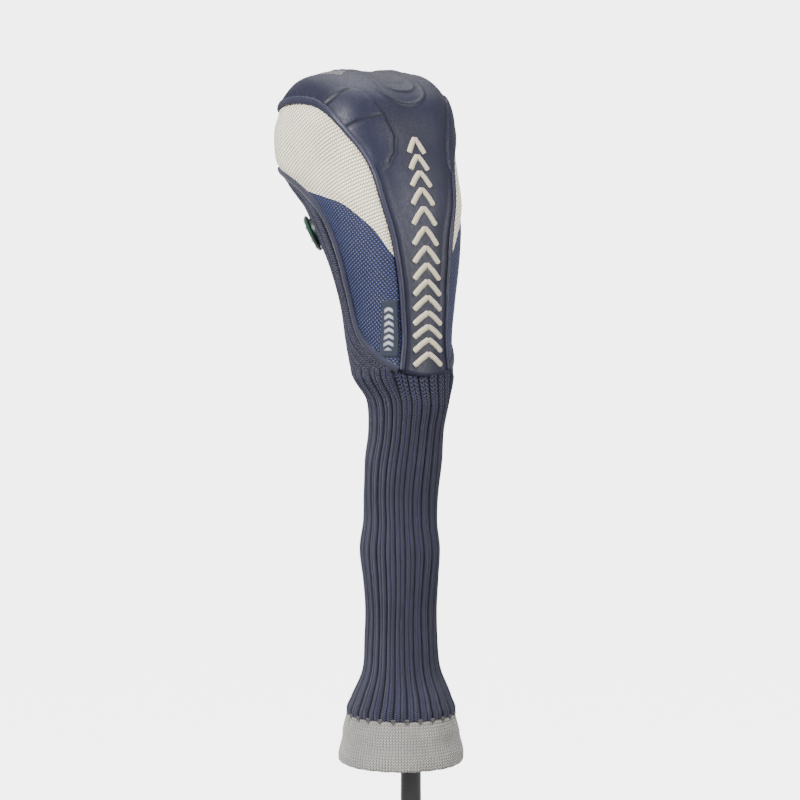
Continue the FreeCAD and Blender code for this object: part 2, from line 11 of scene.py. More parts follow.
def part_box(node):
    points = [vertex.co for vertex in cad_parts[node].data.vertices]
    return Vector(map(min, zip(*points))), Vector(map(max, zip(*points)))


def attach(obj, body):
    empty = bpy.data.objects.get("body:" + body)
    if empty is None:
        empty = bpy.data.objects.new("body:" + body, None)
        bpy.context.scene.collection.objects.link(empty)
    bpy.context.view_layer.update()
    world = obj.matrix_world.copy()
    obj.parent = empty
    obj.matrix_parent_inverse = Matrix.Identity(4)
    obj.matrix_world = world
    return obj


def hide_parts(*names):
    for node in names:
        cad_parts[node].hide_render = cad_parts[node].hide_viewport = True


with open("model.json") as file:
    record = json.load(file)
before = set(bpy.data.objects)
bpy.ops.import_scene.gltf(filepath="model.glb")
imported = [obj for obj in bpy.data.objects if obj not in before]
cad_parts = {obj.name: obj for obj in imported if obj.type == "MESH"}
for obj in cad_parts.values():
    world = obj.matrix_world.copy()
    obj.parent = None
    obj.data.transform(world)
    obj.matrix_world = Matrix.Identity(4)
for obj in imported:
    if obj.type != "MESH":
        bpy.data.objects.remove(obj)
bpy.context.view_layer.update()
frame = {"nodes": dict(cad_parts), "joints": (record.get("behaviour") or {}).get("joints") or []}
nodes = frame["nodes"]
mm = 0.001
weld = 0.000002      # points nearer than this are one
print("frame loaded", len(nodes), "nodes")

# small helpers shared by the pieces


def clamp(value, low=0.0, high=1.0):
    return max(low, min(high, value))


def ease(value, low, high):      # 0 below low, 1 above high, smooth between
    t = clamp((value - low) / (high - low))
    return t * t * (3 - 2 * t)


def bump(value, centre, width):      # a soft bell, 1 at the centre, 0 at width away
    t = clamp(abs(value - centre) / width)
    return (1 - t * t) ** 2


def smoothRow(rows, t):      # values between the given rows, t counted in rows
    i = min(max(int(t), 0), len(rows) - 2)
    f = t - i
    a, b, c, d = (rows[min(max(k, 0), len(rows) - 1)] for k in (i - 1, i, i + 1, i + 2))
    return [0.5 * (2 * q + (r - p) * f + (2 * p - 5 * q + 4 * r - s) * f * f + (3 * q - 3 * r + s - p) * f ** 3)
            for p, q, r, s in zip(a, b, c, d)]


def between(arc, goal):      # the last mark of a rising row before goal, and the share of the way to the next
    i = min(max(bisect.bisect_right(arc, goal) - 1, 0), len(arc) - 2)
    return i, (goal - arc[i]) / max(arc[i + 1] - arc[i], 1e-9)


def addedUp(spots):      # the length of a line of spots up to each of them
    arc = [0.0]
    for near, far in zip(spots, spots[1:]):
        arc.append(arc[-1] + (far - near).length)
    return arc


def spokeAt(degrees):      # a level unit vector
    a = math.radians(degrees)
    return Vector((math.cos(a), math.sin(a), 0))


def signedPower(value, power):
    return math.copysign(abs(value) ** power, value)


def closeUp(bm):      # welds the seam, fills the ends and turns the faces outwards
    bmesh.ops.remove_doubles(bm, verts=bm.verts, dist=weld)
    bmesh.ops.holes_fill(bm, edges=[e for e in bm.edges if e.is_boundary], sides=0)
    bmesh.ops.recalc_face_normals(bm, faces=bm.faces)


def pieceFrom(bm, name, body, slot, material=None, closed=False):
    if closed:
        closeUp(bm)
    mesh = bpy.data.meshes.new(name)
    bm.to_mesh(mesh)
    bm.free()
    piece = bpy.data.objects.new(name, mesh)
    bpy.context.scene.collection.objects.link(piece)
    mesh.materials.append(material or finishes[slot])
    mesh.shade_smooth()
    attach(piece, body)
    return piece


def thicken(piece, thickness):      # a wall that grows inwards from the modelled face
    wall = piece.modifiers.new("wall", "SOLIDIFY")
    wall.thickness = thickness * mm
    wall.offset = -1


# the hood's form: slices from the neck to the toe, each through the Y direction, from a front point on the
# spine to a rear point under the toe, in millimetres from hoodBase
hood = {
    "slices": [      # front x, front z, rear x, rear z, half depth, squareness
        (17, -118, -31, -118, 28, 2.1),
        (16.5, -99, -38, -100, 29, 2.1),
        (16, -78, -40, -80, 31.5, 2.2),
        (14.5, -52, -44, -60, 36.5, 2.3),
        (11, -22, -53, -43, 40.5, 2.5),
        (5, 4, -63, -31, 42, 2.5),
        (-4.5, 31, -73, -20, 43, 3.1),
        (-26, 46.5, -81, -11, 43, 3.2),
        (-50, 51.5, -86, -3, 40, 3.0),
        (-71, 47.5, -89, 5, 34, 2.6),
        (-83, 38, -91, 12, 22, 2.3),
        (-88, 25, -91.5, 18, 9, 2.0),
        (-90.6, 22.3, -91.4, 20.7, 1.2, 2.0),
    ],
    "topSeam": [(12.4, -121), (13.0, -94), (12.2, -61), (8.6, -32), (1.5, -7), (-12, 14), (-27, 25), (-45, 29),
                (-68, 29.5), (-84, 27), (-97, 24)],
    "mouthEdge": [(17, -118), (4, -106.5), (-4, -98.5), (-8.5, -89), (-11, -73), (-12.7, -57), (-17.5, -41),
                  (-26, -29), (-38, -20.5), (-52, -13), (-67, -7), (-82, -2.5), (-97, -1)],
    "clothJoin": [(-45, -17), (-20.5, -22.5), (-6.5, -27.3), (5, -38.4), (10.4, -50.8), (16, -68)],
}
topLow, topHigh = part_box("top_panel")
hoodBase = Vector((topLow.x + 87.2 * mm, (topLow.y + topHigh.y) / 2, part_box("knit_sock")[1].z + 118 * mm))
lastSlice = len(hood["slices"]) - 1


@functools.lru_cache(maxsize=None)
def sliceAt(s):
    frontX, frontZ, rearX, rearZ, half, squareness = smoothRow(hood["slices"], s)
    front = hoodBase + Vector((frontX, 0, frontZ)) * mm
    rear = hoodBase + Vector((rearX, 0, rearZ)) * mm
    return (front + rear) / 2, (front - rear) / 2, max(half, 0.3) * mm, squareness


def hoodSpot(s, degrees):      # 0 degrees on the spine, 180 under the toe, positive on the +Y side
    middle, reach, half, squareness = sliceAt(s)
    a = math.radians(degrees)
    return (middle + reach * signedPower(math.cos(a), 2 / squareness)
            + Vector((0, half * signedPower(math.sin(a), 2 / squareness), 0)))


def hoodNormal(s, degrees):
    s0, s1 = max(s - 0.03, 0), min(s + 0.03, lastSlice)
    along = hoodSpot(s1, degrees) - hoodSpot(s0, degrees)
    roundWay = hoodSpot(s, degrees + 0.8) - hoodSpot(s, degrees - 0.8)
    return roundWay.cross(along).normalized()


@functools.lru_cache(maxsize=None)
def finePath(lineName):
    line = hood[lineName]
    steps = 30 * (len(line) - 1)
    return [smoothRow(line, i / 30) for i in range(steps + 1)]


@functools.lru_cache(maxsize=None)
def lineAngle(lineName, s):      # where a seam line crosses slice s, in degrees from the spine
    middle, reach, half, squareness = sliceAt(s)
    middle, reach = (middle - hoodBase) / mm, reach / mm
    length = reach.length
    side = [((x - middle.x) * reach.z - (z - middle.z) * reach.x) / length for x, z in finePath(lineName)]
    share = [((x - middle.x) * reach.x + (z - middle.z) * reach.z) / length ** 2 for x, z in finePath(lineName)]
    found = []
    for i in range(len(side) - 1):
        if side[i] * side[i + 1] <= 0 and side[i] != side[i + 1]:
            f = side[i] / (side[i] - side[i + 1])
            found.append(share[i] + (share[i + 1] - share[i]) * f)
    if not found:
        return 0.0 if lineName == "topSeam" else 180.0
    at = clamp(max(found), -1, 1)
    return math.degrees(math.acos(signedPower(at, squareness / 2)))


def lastCrossing(lineName, low, high, outside):      # slice number where a seam line leaves the hood's profile
    for _ in range(40):
        half = (low + high) / 2
        if lineAngle(lineName, half) == outside:
            high = half
        else:
            low = half
    return low


toeCross = lastCrossing("topSeam", 9.5, lastSlice, 0.0)
mouthCross = lastCrossing("mouthEdge", 6.0, 8.9, 180.0)
print("top seam meets the toe at slice", round(toeCross, 2), "and the mouth closes at", round(mouthCross, 2))


def mouthAngle(s):      # the mouth's edge, from the spine's lower corners to the rear of the toe
    return lineAngle("mouthEdge", max(s, 0.27)) if s < mouthCross else 180.0


def joinAngle(s):      # the join of the light and blue cloths, kept between the top seam and the mouth
    found = lineAngle("clothJoin", s)
    if found == 180.0 and s < 4:
        found = 0.0
    return clamp(found, lineAngle("topSeam", s), mouthAngle(s))


def gridPiece(columns, rows, place, wrap=False):      # a grid laid out by place(u, w) -> (point, uv, outward, mark), the mark being painted shade on most pieces and the woven motif on the label
    bm = bmesh.new()
    bmesh.ops.create_grid(bm, x_segments=columns, y_segments=rows, size=0.5)
    weave = bm.loops.layers.uv.new("weave")
    # this layer holds painted shade for the leather and knit finishes (0 none, 1 full); the label stores its woven
    # motif in it instead
    paintedShadeAndMotif = bm.verts.layers.float.new("paintedShadeAndMotif")
    flat, out = {}, {}
    for v in bm.verts:
        u, w = clamp(v.co.x + 0.5), clamp(v.co.y + 0.5)
        v.co, flat[v], out[v], *rest = place(round(u, 6), round(w, 6))
        v[paintedShadeAndMotif] = rest[0] if rest else 0.0
    for face in bm.faces:
        for loop in face.loops:
            loop[weave].uv = flat[loop.vert]
    bm.normal_update()
    if sum(face.normal.dot(out[face.verts[0]]) * face.calc_area() for face in bm.faces) < 0:
        bmesh.ops.reverse_faces(bm, faces=bm.faces)
    bmesh.ops.dissolve_degenerate(bm, dist=weld, edges=bm.edges)
    if wrap:
        bmesh.ops.remove_doubles(bm, verts=bm.verts, dist=weld)
    return bm


def evenRows(low, high, degrees):      # share of the length along a line of constant degrees -> slice number
    steps = [low + (high - low) * i / 400 for i in range(401)]
    arc = addedUp([hoodSpot(s, degrees) for s in steps])

    @functools.lru_cache(maxsize=None)
    def at(share):
        i, f = between(arc, share * arc[-1])
        return steps[i] + (steps[i + 1] - steps[i]) * clamp(f)

    return at, arc[-1] / mm


spineSteps = [lastSlice * i / 600 for i in range(601)]
spineArc = [0.0]
for sNear, sFar in zip(spineSteps, spineSteps[1:]):
    spineArc.append(spineArc[-1] + (hoodSpot(sFar, 0) - hoodSpot(sNear, 0)).length / mm)


def spineLength(s):      # millimetres along the spine from the neck
    at = clamp(s / lastSlice) * 600
    i = min(int(at), 599)
    return spineArc[i] + (spineArc[i + 1] - spineArc[i]) * (at - i)


def perDegree(s):      # millimetres round the hood for one degree, about halfway up its side
    middle, reach, half, squareness = sliceAt(s)
    return (half + reach.length) / mm * math.pi / 360


# materials: each is a Principled shader with its own small web of nodes


def tint(red, green, blue):      # a colour as it is seen, 0 to 255, to the shader's scale
    return tuple((c / 255 / 12.92 if c <= 10 else ((c / 255 + 0.055) / 1.055) ** 2.4)
                 for c in (red, green, blue)) + (1,)


class Web:      # short words for building one material
    def __init__(self, name, **sockets):
        self.material = bpy.data.materials.new(name)
        self.material.use_nodes = True
        self.tree = self.material.node_tree
        self.shader = self.tree.nodes["Principled BSDF"]
        for socket, value in sockets.items():
            self.shader.inputs[socket.replace("_", " ")].default_value = value
        self.bumped = None

    def add(self, kind, inputs=(), **settings):
        made = self.tree.nodes.new("ShaderNode" + kind)
        for key, value in settings.items():
            setattr(made, key, value)
        for at, value in (inputs.items() if isinstance(inputs, dict) else enumerate(inputs)):
            if hasattr(value, "is_linked"):
                self.tree.links.new(value, made.inputs[at])
            else:
                made.inputs[at].default_value = value
        return made

    def sum(self, operation, *values):
        return self.add("Math", values, operation=operation).outputs[0]

    def times(self, *values):
        return self.sum("MULTIPLY", *values)

    def plus(self, *values):
        return self.sum("ADD", *values)

    def minus(self, *values):
        return self.sum("SUBTRACT", *values)

    def weave(self):      # the piece's own UV, as two numbers
        split = self.add("SeparateXYZ", [self.add("UVMap", uv_map="weave").outputs[0]])
        return split.outputs[0], split.outputs[1]

    def slant(self, u, v, alongU, alongV, pitch, operation="ADD"):      # counts lines that run slanting over the cloth
        turned = self.sum(operation, self.times(u, alongU), self.times(v, alongV))
        return self.sum("DIVIDE", turned, pitch)

    def ridges(self, count):      # one rounded ridge for each whole number of a count
        return self.sum("SINE", self.times(self.sum("FRACT", count), math.pi))

    def place(self):      # Object coordinates, in metres
        return self.add("TexCoord").outputs["Object"]

    def noise(self, scale, detail=2.0, rough=0.5, vector=None):
        return self.add("TexNoise", {"Vector": vector or self.place(), "Scale": scale, "Detail": detail,
                                     "Roughness": rough}).outputs[0]

    def ramp(self, value, low, high, start=0.0, end=1.0):      # a smooth step from low to high
        return self.add("MapRange", [value, low, high, start, end], interpolation_type="SMOOTHSTEP").outputs[0]

    def mix(self, share, first, second):
        return self.add("Mix", {0: share, 6: first, 7: second}, data_type="RGBA").outputs[2]

    def bump(self, height, distance, strength=1.0):      # distance in millimetres
        inputs = {"Strength": strength, "Distance": distance * mm, "Height": height}
        if self.bumped:
            inputs["Normal"] = self.bumped
        self.bumped = self.add("Bump", inputs).outputs[0]

    def done(self, colour=None, roughness=None):
        for value, socket in ((colour, "Base Color"), (roughness, "Roughness"), (self.bumped, "Normal")):
            if value is not None:
                self.tree.links.new(value, self.shader.inputs[socket])
        return self.material


def leather(name, main, dark, rough):      # smooth coated skin with a fine pore
    web = Web(name, Specular_IOR_Level=0.28)
    pores = web.add("TexVoronoi", {"Vector": web.place(), "Scale": 1150.0}, feature="DISTANCE_TO_EDGE").outputs[0]
    cloud = web.noise(24.0, 4.0)
    fine = web.noise(700.0, 3.0)
    # painted shade from the mesh's layer pushes the skin towards its dark colour
    paintedShadeAndMotif = web.add("Attribute", attribute_name="paintedShadeAndMotif").outputs["Fac"]
    web.bump(web.ramp(pores, 0.0, 0.3), 0.05, 0.5)
    web.bump(fine, 0.06, 0.5)
    web.bump(web.noise(120.0, 2.0), 0.3, 0.25)
    share = web.plus(web.ramp(cloud, 0.3, 0.7, 0.0, 0.35),
                    web.ramp(web.ramp(pores, 0.0, 0.12), 0.0, 1.0, 0.3, 0.0))
    colour = web.mix(web.sum("MINIMUM", web.plus(share, paintedShadeAndMotif), 1.0), main, dark)
    return web.done(colour, web.ramp(fine, 0.2, 0.8, rough - 0.06, rough + 0.1))


def knit(name, light, dark, wales=2.0, fuzz=0.3):      # stocking stitch: u counts wales, v counts rows
    web = Web(name, Roughness=0.9, Sheen_Weight=fuzz, Sheen_Roughness=0.45, Specular_IOR_Level=0.15)
    u, v = web.weave()
    wobble = web.times(web.minus(web.noise(260.0, 2.0), 0.5), 0.22)
    across = web.sum("ABSOLUTE", web.minus(web.sum("FRACT", web.plus(u, wobble)), 0.5))
    climb = web.sum("FRACT", web.plus(web.plus(v, wobble), web.times(across, 1.7)))
    strand = web.sum("SINE", web.times(climb, math.pi))
    edge = web.ramp(across, 0.5, 0.36, 0.0, 1.0)
    middle = web.ramp(across, 0.0, 0.07, 0.35, 1.0)
    height = web.times(web.times(strand, edge), middle)
    fibre = web.noise(3200.0, 2.0)
    web.bump(height, 0.6, 1.0)
    web.bump(fibre, 0.12, 0.5)
    shade = web.times(web.ramp(height, 0.12, 0.95), web.ramp(fibre, 0.25, 0.7, 0.7, 1.0))
    groove = 1.0
    if wales > 1:      # the rib's groove, painted dark all the way up as shade
        rib = web.sum("ABSOLUTE", web.minus(web.sum("FRACT", web.sum("DIVIDE", u, wales)), 0.5))
        groove = web.ramp(rib, 0.3, 0.5, 1.0, 0.05)
    patch = web.ramp(web.noise(45.0, 3.0), 0.3, 0.7, 0.78, 1.0)
    share = web.times(web.times(shade, groove), patch)
    # painted shade from the mesh's layer darkens the knit
    paintedShadeAndMotif = web.add("Attribute", attribute_name="paintedShadeAndMotif").outputs["Fac"]
    share = web.times(share, web.minus(1.0, paintedShadeAndMotif))
    return web.done(web.mix(share, dark, light))


def meshCloth(name, light, dark):      # cream ribbed mesh: slanting ribs, broken into beads
    web = Web(name, Roughness=0.75, Sheen_Weight=0.15, Specular_IOR_Level=0.25)
    u, v = web.weave()
    rib = web.slant(v, u, 0.90, 0.44, 2.0 * mm, "SUBTRACT")
    bead = web.slant(u, v, 0.95, 0.30, 1.5 * mm)
    row = web.sum("FLOOR", rib)
    bead = web.plus(bead, web.times(row, 0.5))
    ridge, beads = web.ridges(rib), web.ridges(bead)
    height = web.times(web.sum("POWER", ridge, 0.7), web.plus(web.times(beads, 0.78), 0.22))
    web.bump(height, 0.4, 0.9)
    web.bump(web.noise(2500.0, 2.0), 0.06, 0.4)
    patch = web.ramp(web.noise(60.0, 3.0), 0.3, 0.7, 0.0, 0.12)
    share = web.minus(web.ramp(height, 0.1, 0.75), patch)
    return web.done(web.mix(share, dark, light))


def dottedNylon(name, ground, dot, pitch=2.2):      # woven nylon with light dots in slanting rows
    web = Web(name, Roughness=0.5, Sheen_Weight=0.08, Specular_IOR_Level=0.35)
    u, v = web.weave()
    first = web.slant(u, v, 0.80, 0.60, pitch * mm * 0.72)
    second = web.slant(u, v, 0.60, 0.80, pitch * mm * 0.72, "SUBTRACT")
    height = web.times(web.ridges(first), web.ridges(second))
    fine = web.noise(1500.0, 2.0)
    web.bump(height, 0.3, 0.9)
    web.bump(fine, 0.05, 0.5)
    spot = web.ramp(height, 0.66, 0.97)
    shade = tuple(0.45 * c for c in ground[:3]) + (1,)
    colour = web.mix(spot, web.mix(web.ramp(height, 0.0, 0.4), shade, ground), dot)
    return web.done(colour, web.ramp(fine, 0.2, 0.8, 0.42, 0.62))


def plainWeave(name, light, dark, pitch, rough=0.85, lift=0.12):      # over and under, by the piece's own UV in metres
    web = Web(name, Roughness=rough, Sheen_Weight=0.2, Specular_IOR_Level=0.2)
    u, v = web.weave()
    a = web.sum("SINE", web.times(u, math.pi / (pitch * mm)))
    b = web.sum("SINE", web.times(v, math.pi / (pitch * mm)))
    height = web.sum("ABSOLUTE", web.times(a, b))
    web.bump(height, lift, 0.8)
    web.bump(web.noise(1800.0, 3.0), 0.06, 0.5)
    patch = web.ramp(web.noise(70.0, 3.0), 0.3, 0.7, 0.7, 1.0)
    return web.done(web.mix(web.times(web.ramp(height, 0.0, 0.6), patch), dark, light))


def threads(name, light, dark):      # satin stitch: fine glossy thread
    web = Web(name, Roughness=0.45, Sheen_Weight=0.3, Specular_IOR_Level=0.5)
    u, v = web.weave()
    strand = web.ridges(web.sum("DIVIDE", v, 0.42 * mm))
    fine = web.noise(2600.0, 3.0)
    web.bump(strand, 0.14, 0.8)
    web.bump(fine, 0.05, 0.5)
    share = web.times(web.ramp(strand, 0.0, 0.6, 0.35, 1.0), web.ramp(fine, 0.25, 0.65, 0.7, 1.0))
    return web.done(web.mix(share, dark, light))


def hardFinish(name, main, dark, rough, metal=0.0, coat=0.0, scale=300.0, lift=0.02, stretch=(1, 1, 1), low=0.35):
    web = Web(name, Metallic=metal, Coat_Weight=coat, Coat_Roughness=0.06, Specular_IOR_Level=0.5)
    grain = web.add("Mapping", {"Vector": web.place(), "Scale": stretch}).outputs[0]
    fine = web.noise(scale, 4.0, 0.6, grain)
    cloud = web.noise(30.0, 3.0)
    web.bump(fine, lift, 0.6)
    share = web.times(web.ramp(fine, low, 0.7), web.ramp(cloud, 0.2, 0.8, 0.6, 1.0))
    return web.done(web.mix(share, dark, main), web.ramp(cloud, 0.3, 0.7, rough - 0.04, rough + 0.06))


finishes = {
    "moulded_skin": leather("mouldedSkin", tint(28, 29, 49), tint(10, 10, 20), 0.45),
    "piping": leather("pipingSkin", tint(42, 43, 61), tint(16, 16, 29), 0.42),
    "light_mesh": meshCloth("creamMesh", tint(255, 250, 228), tint(134, 119, 95)),
    "blue_nylon": dottedNylon("blueNylon", tint(8, 14, 48), tint(68, 84, 140)),
    "binding": plainWeave("bindingTape", tint(46, 48, 68), tint(20, 20, 35), 0.45, 0.6, 0.08),
    "navy_knit": knit("navyKnit", tint(66, 67, 92), tint(9, 9, 17), 2.0, 0.12),
    "grey_knit": knit("greyKnit", tint(198, 194, 188), tint(82, 79, 76), 1.0, 0.4),
    "label": plainWeave("labelTape", tint(60, 66, 82), tint(32, 36, 48), 0.3, 0.7, 0.06),
    "thread": threads("creamThread", tint(204, 194, 166), tint(112, 102, 76)),
    "lining": plainWeave("liningCloth", tint(70, 72, 84), tint(30, 31, 40), 0.5, 0.7, 0.08),
    "foam": hardFinish("foamBacking", tint(120, 120, 124), tint(60, 60, 64), 0.9, scale=900.0, lift=0.3),
    "elastic": plainWeave("elasticBand", tint(60, 62, 78), tint(20, 20, 28), 0.6, 0.8, 0.2),
    "tape": hardFinish("gripTape", tint(214, 203, 176), tint(176, 164, 138), 0.85, scale=400.0, lift=0.04),
    "grip_rubber": hardFinish("gripRubber", tint(46, 46, 48), tint(24, 24, 26), 0.62, scale=1400.0, lift=0.05),
    "shaft_graphite": hardFinish("shaftLacquer", tint(34, 34, 36), tint(20, 20, 22), 0.2, coat=0.8, scale=160.0,
                                 stretch=(1, 1, 0.15)),
    "plug": hardFinish("plugNylon", tint(190, 188, 180), tint(140, 138, 130), 0.6),
    "ferrule": hardFinish("ferrulePlastic", tint(22, 22, 24), tint(12, 12, 13), 0.22, coat=0.5, scale=500.0,
                          lift=0.01),
    "face_steel": hardFinish("faceSteel", tint(176, 178, 182), tint(120, 122, 128), 0.34, 1.0, scale=240.0,
                             stretch=(1, 1, 14), lift=0.03),
    "crown_paint": hardFinish("crownPaint", tint(30, 34, 58), tint(16, 18, 34), 0.14, 0.2, 1.0, 900.0, 0.01),
    "head_casting": hardFinish("headCasting", tint(150, 152, 158), tint(96, 98, 104), 0.38, 1.0, scale=700.0,
                               lift=0.03),
    "weight_metal": hardFinish("weightMetal", tint(186, 176, 150), tint(128, 118, 92), 0.3, 1.0, scale=900.0),
    "dial_base": hardFinish("dialBase", tint(30, 50, 44), tint(18, 30, 27), 0.4, scale=600.0),
    "dial_disc": hardFinish("dialDisc", tint(28, 66, 56), tint(16, 42, 36), 0.16, coat=1.0, scale=200.0, lift=0.01),
    "dial_rivet": hardFinish("dialRivet", tint(170, 168, 160), tint(110, 108, 100), 0.28, 1.0, scale=600.0),
}
print("materials ready", len(finishes))


# the moulded top panel, with its raised lines, side pods and puckered edge


topPanel = {
    "columns": 120, "rows": 300, "wall": 1.2, "tongue": 0.02, "corner": 0.27,
    "rings": [      # front slice, half width, rise, spread
        (5.86, 15.5, 0.75, 1.35), (6.22, 12.4, 0.65, 1.25), (6.6, 9.2, 0.35, 2.0),
    ],
    "ringEnd": 8.9, "dish": 0.7,
    "podLeft": [(4.5, 26), (4.72, 20), (4.92, 15), (5.22, 12.5), (5.57, 15), (5.87, 19), (6.2, 23), (6.42, 31),
                (6.55, 41)],
    "podRight": [(4.5, 31), (4.9, 29), (5.22, 29), (5.67, 31), (6.1, 35), (6.33, 39), (6.55, 43)],
    "podRise": 1.1, "podCreases": (5.6, 6.36), "creaseDepth": 0.5,
    "puckers": (6.5, 10.2), "puckerPitch": 3.6, "puckerDepth": 1.5, "puckerCentre": (-56, 42),
    "shape": [(3.0, 7.0, 1.5, 38, 34), (-1.8, 7.9, 1.5, -22, 34)],      # rise, slice, spread, turn, spread
    "seamDepth": 2.0,
}
topRows, topLength = evenRows(0.0, toeCross, 0)


def rowAt(pairs, s):      # a value read between (slice, value) pairs
    for (a, first), (b, second) in zip(pairs, pairs[1:]):
        if s <= b:
            return first + (second - first) * ease(s, a, b)
    return pairs[-1][1]


def topLift(s, degrees, half):
    place = (hoodSpot(s, degrees) - hoodBase) / mm
    across, turn = place.y, perDegree(s)
    along, side = spineLength(s), abs(degrees)
    fromSeam = (half - side) * turn
    lift = -topPanel["seamDepth"] * (1 - ease(fromSeam, -0.2, 2.8)) ** 1.5
    # painted shade: the panel's edge darkens where it tucks down into the seam
    paintedShadeAndMotif = 1.0 - ease(fromSeam, 0.5, 2.0)
    for front, wide, rise, spread in topPanel["rings"]:
        start, end = spineLength(front) + wide, spineLength(topPanel["ringEnd"])
        d = math.hypot(across, max(0.0, start - along, along - end)) - wide
        lift += rise * bump(d, 0, spread)
        # painted shade in the hollows either side of each raised line, taken back off its crest
        paintedShadeAndMotif += 0.4 * bump(d, -1.4, 1.2) + 0.3 * bump(d, 1.5, 1.0) - 0.25 * bump(d, 0, 0.8)
    dishWide = topPanel["rings"][1][1]
    start = spineLength(topPanel["rings"][1][0]) + dishWide
    inDish = dishWide - math.hypot(across, max(0.0, start - along))
    lift -= topPanel["dish"] * ease(inDish, 0, 7) * (1 - ease(s, 8.4, 9.4))
    pod = topPanel["podLeft"] if degrees < 0 else topPanel["podRight"]
    inPod = (side - rowAt(pod, s)) * turn
    window = ease(s, pod[0][0], pod[0][0] + 0.25) * (1 - ease(s, 6.35, 6.6))
    lift += window * (topPanel["podRise"] * ease(inPod, -1.0, 2.6) * (0.55 + 0.45 * ease(fromSeam, 1, 7))
                      + 0.35 * bump(inPod, 0.6, 1.2) - 0.25 * bump(inPod, -1.4, 1.6))
    # painted shade at the foot of each side pod, taken back off its crest
    paintedShadeAndMotif += window * (0.3 * bump(inPod, -0.9, 1.4) - 0.2 * bump(inPod, 0.7, 0.8))
    if degrees < 0:
        for crease in topPanel["podCreases"]:
            near = bump((s - crease) * 26 + 0.08 * (side - 26) * turn, 0, 1.7) * ease(inPod, -1, 1.5)
            lift -= topPanel["creaseDepth"] * near
            # painted shade in the pod's creases
            paintedShadeAndMotif += 0.45 * near
    low, high = topPanel["puckers"]
    pucker = bump(fromSeam, 3.0, 8.5) * ease(s, low - 0.25, low + 0.5) * (1 - ease(s, high, high + 0.6))
    turnRound = math.atan2(across, place.x - topPanel["puckerCentre"][0])      # gathers point at the crown's middle
    phase = turnRound * topPanel["puckerCentre"][1] / topPanel["puckerPitch"]
    phase += 0.6 * noise.noise(Vector((place.x / 9, across / 9, 0)))
    fold = abs(math.sin(math.pi * phase)) ** 0.6 - 0.7
    lift += topPanel["puckerDepth"] * pucker * fold
    # painted shade in the troughs of the puckers
    paintedShadeAndMotif += 0.35 * pucker * max(0.0, -fold)
    lift -= 0.45 * bump((side - 25) * turn, 0, 4.0) * ease(s, 6.6, 7.0) * (1 - ease(s, 8.4, 9.2))
    lift += 0.5 * bump(fromSeam, 5.2, 3.0) * (1 - ease(s, 4.1, 4.8))      # a soft roll down each side of the spine
    for rise, s0, wideS, turn0, wideTurn in topPanel["shape"]:
        lift += rise * bump(s, s0, wideS) * bump(degrees, turn0, wideTurn)
    lift += 0.3 * noise.noise(Vector((along / 14, across / 11, 2)))
    return lift, clamp(paintedShadeAndMotif)


def topPlace(u, w):
    side = 2 * u - 1
    s = topRows(w)
    half = min(lineAngle("topSeam", s), 90.0)
    degrees = side * half
    s += (topPanel["corner"] - (topPanel["corner"] + topPanel["tongue"]) * (1 - side * side)) * (1 - ease(s, 0, 0.9))
    lift, paintedShadeAndMotif = topLift(s, degrees, half)
    lift -= 0.7 * (1 - ease(w * topLength, 0, 2.0))      # the bottom edge is turned in
    out = hoodNormal(s, degrees)
    spot = hoodSpot(s, degrees) + out * lift * mm
    return spot, (spot.y, w * topLength * mm), out, paintedShadeAndMotif


topSkin = pieceFrom(gridPiece(topPanel["columns"], topPanel["rows"], topPlace), "topPanel", "cover", "moulded_skin")
thicken(topSkin, topPanel["wall"])
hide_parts("top_panel")
print("top panel made")


# the side cloths: light mesh above, dotted nylon below


sideCloth = {"columns": 56, "lightRows": 220, "blueRows": 130, "wall": 0.7}


def crossSlice(test, low, high):      # the slice number where a test turns from false to true
    for _ in range(40):
        half = (low + high) / 2
        low, high = (low, half) if test(half) else (half, high)
    return high


lightStart = crossSlice(lambda s: joinAngle(s) > lineAngle("topSeam", s) + 0.01, 2.41, 4.0)
blueEnd = crossSlice(lambda s: joinAngle(s) > mouthAngle(s) - 0.01, 4.0, 7.0)
lightRows = evenRows(lightStart, lastSlice, 90)[0]
blueRows = evenRows(0.0, blueEnd, 60)[0]


def clothPlace(side, rows, lowLine, highLine, puff):
    def place(u, w):
        s = rows(w)
        low = lowLine(s)
        high = max(low, highLine(s))
        degrees = low + (high - low) * u
        turn = perDegree(s)
        inside = min(degrees - low, high - degrees if high < 179.9 else 99.0) * turn
        lift = puff * ease(inside, 0, 9) - 0.5 + 0.25 * noise.noise(Vector((s * 1.3, degrees / 25, side * 3.0)))
        out = hoodNormal(s, side * degrees)
        # painted shade along the cloth's seamed edges (the mesh and nylon finishes don't read this layer)
        paintedShadeAndMotif = 1 - ease(inside, 0.5, 3.0)
        return hoodSpot(s, side * degrees) + out * lift * mm, (degrees * turn * mm, s * 0.025), out, paintedShadeAndMotif
    return place


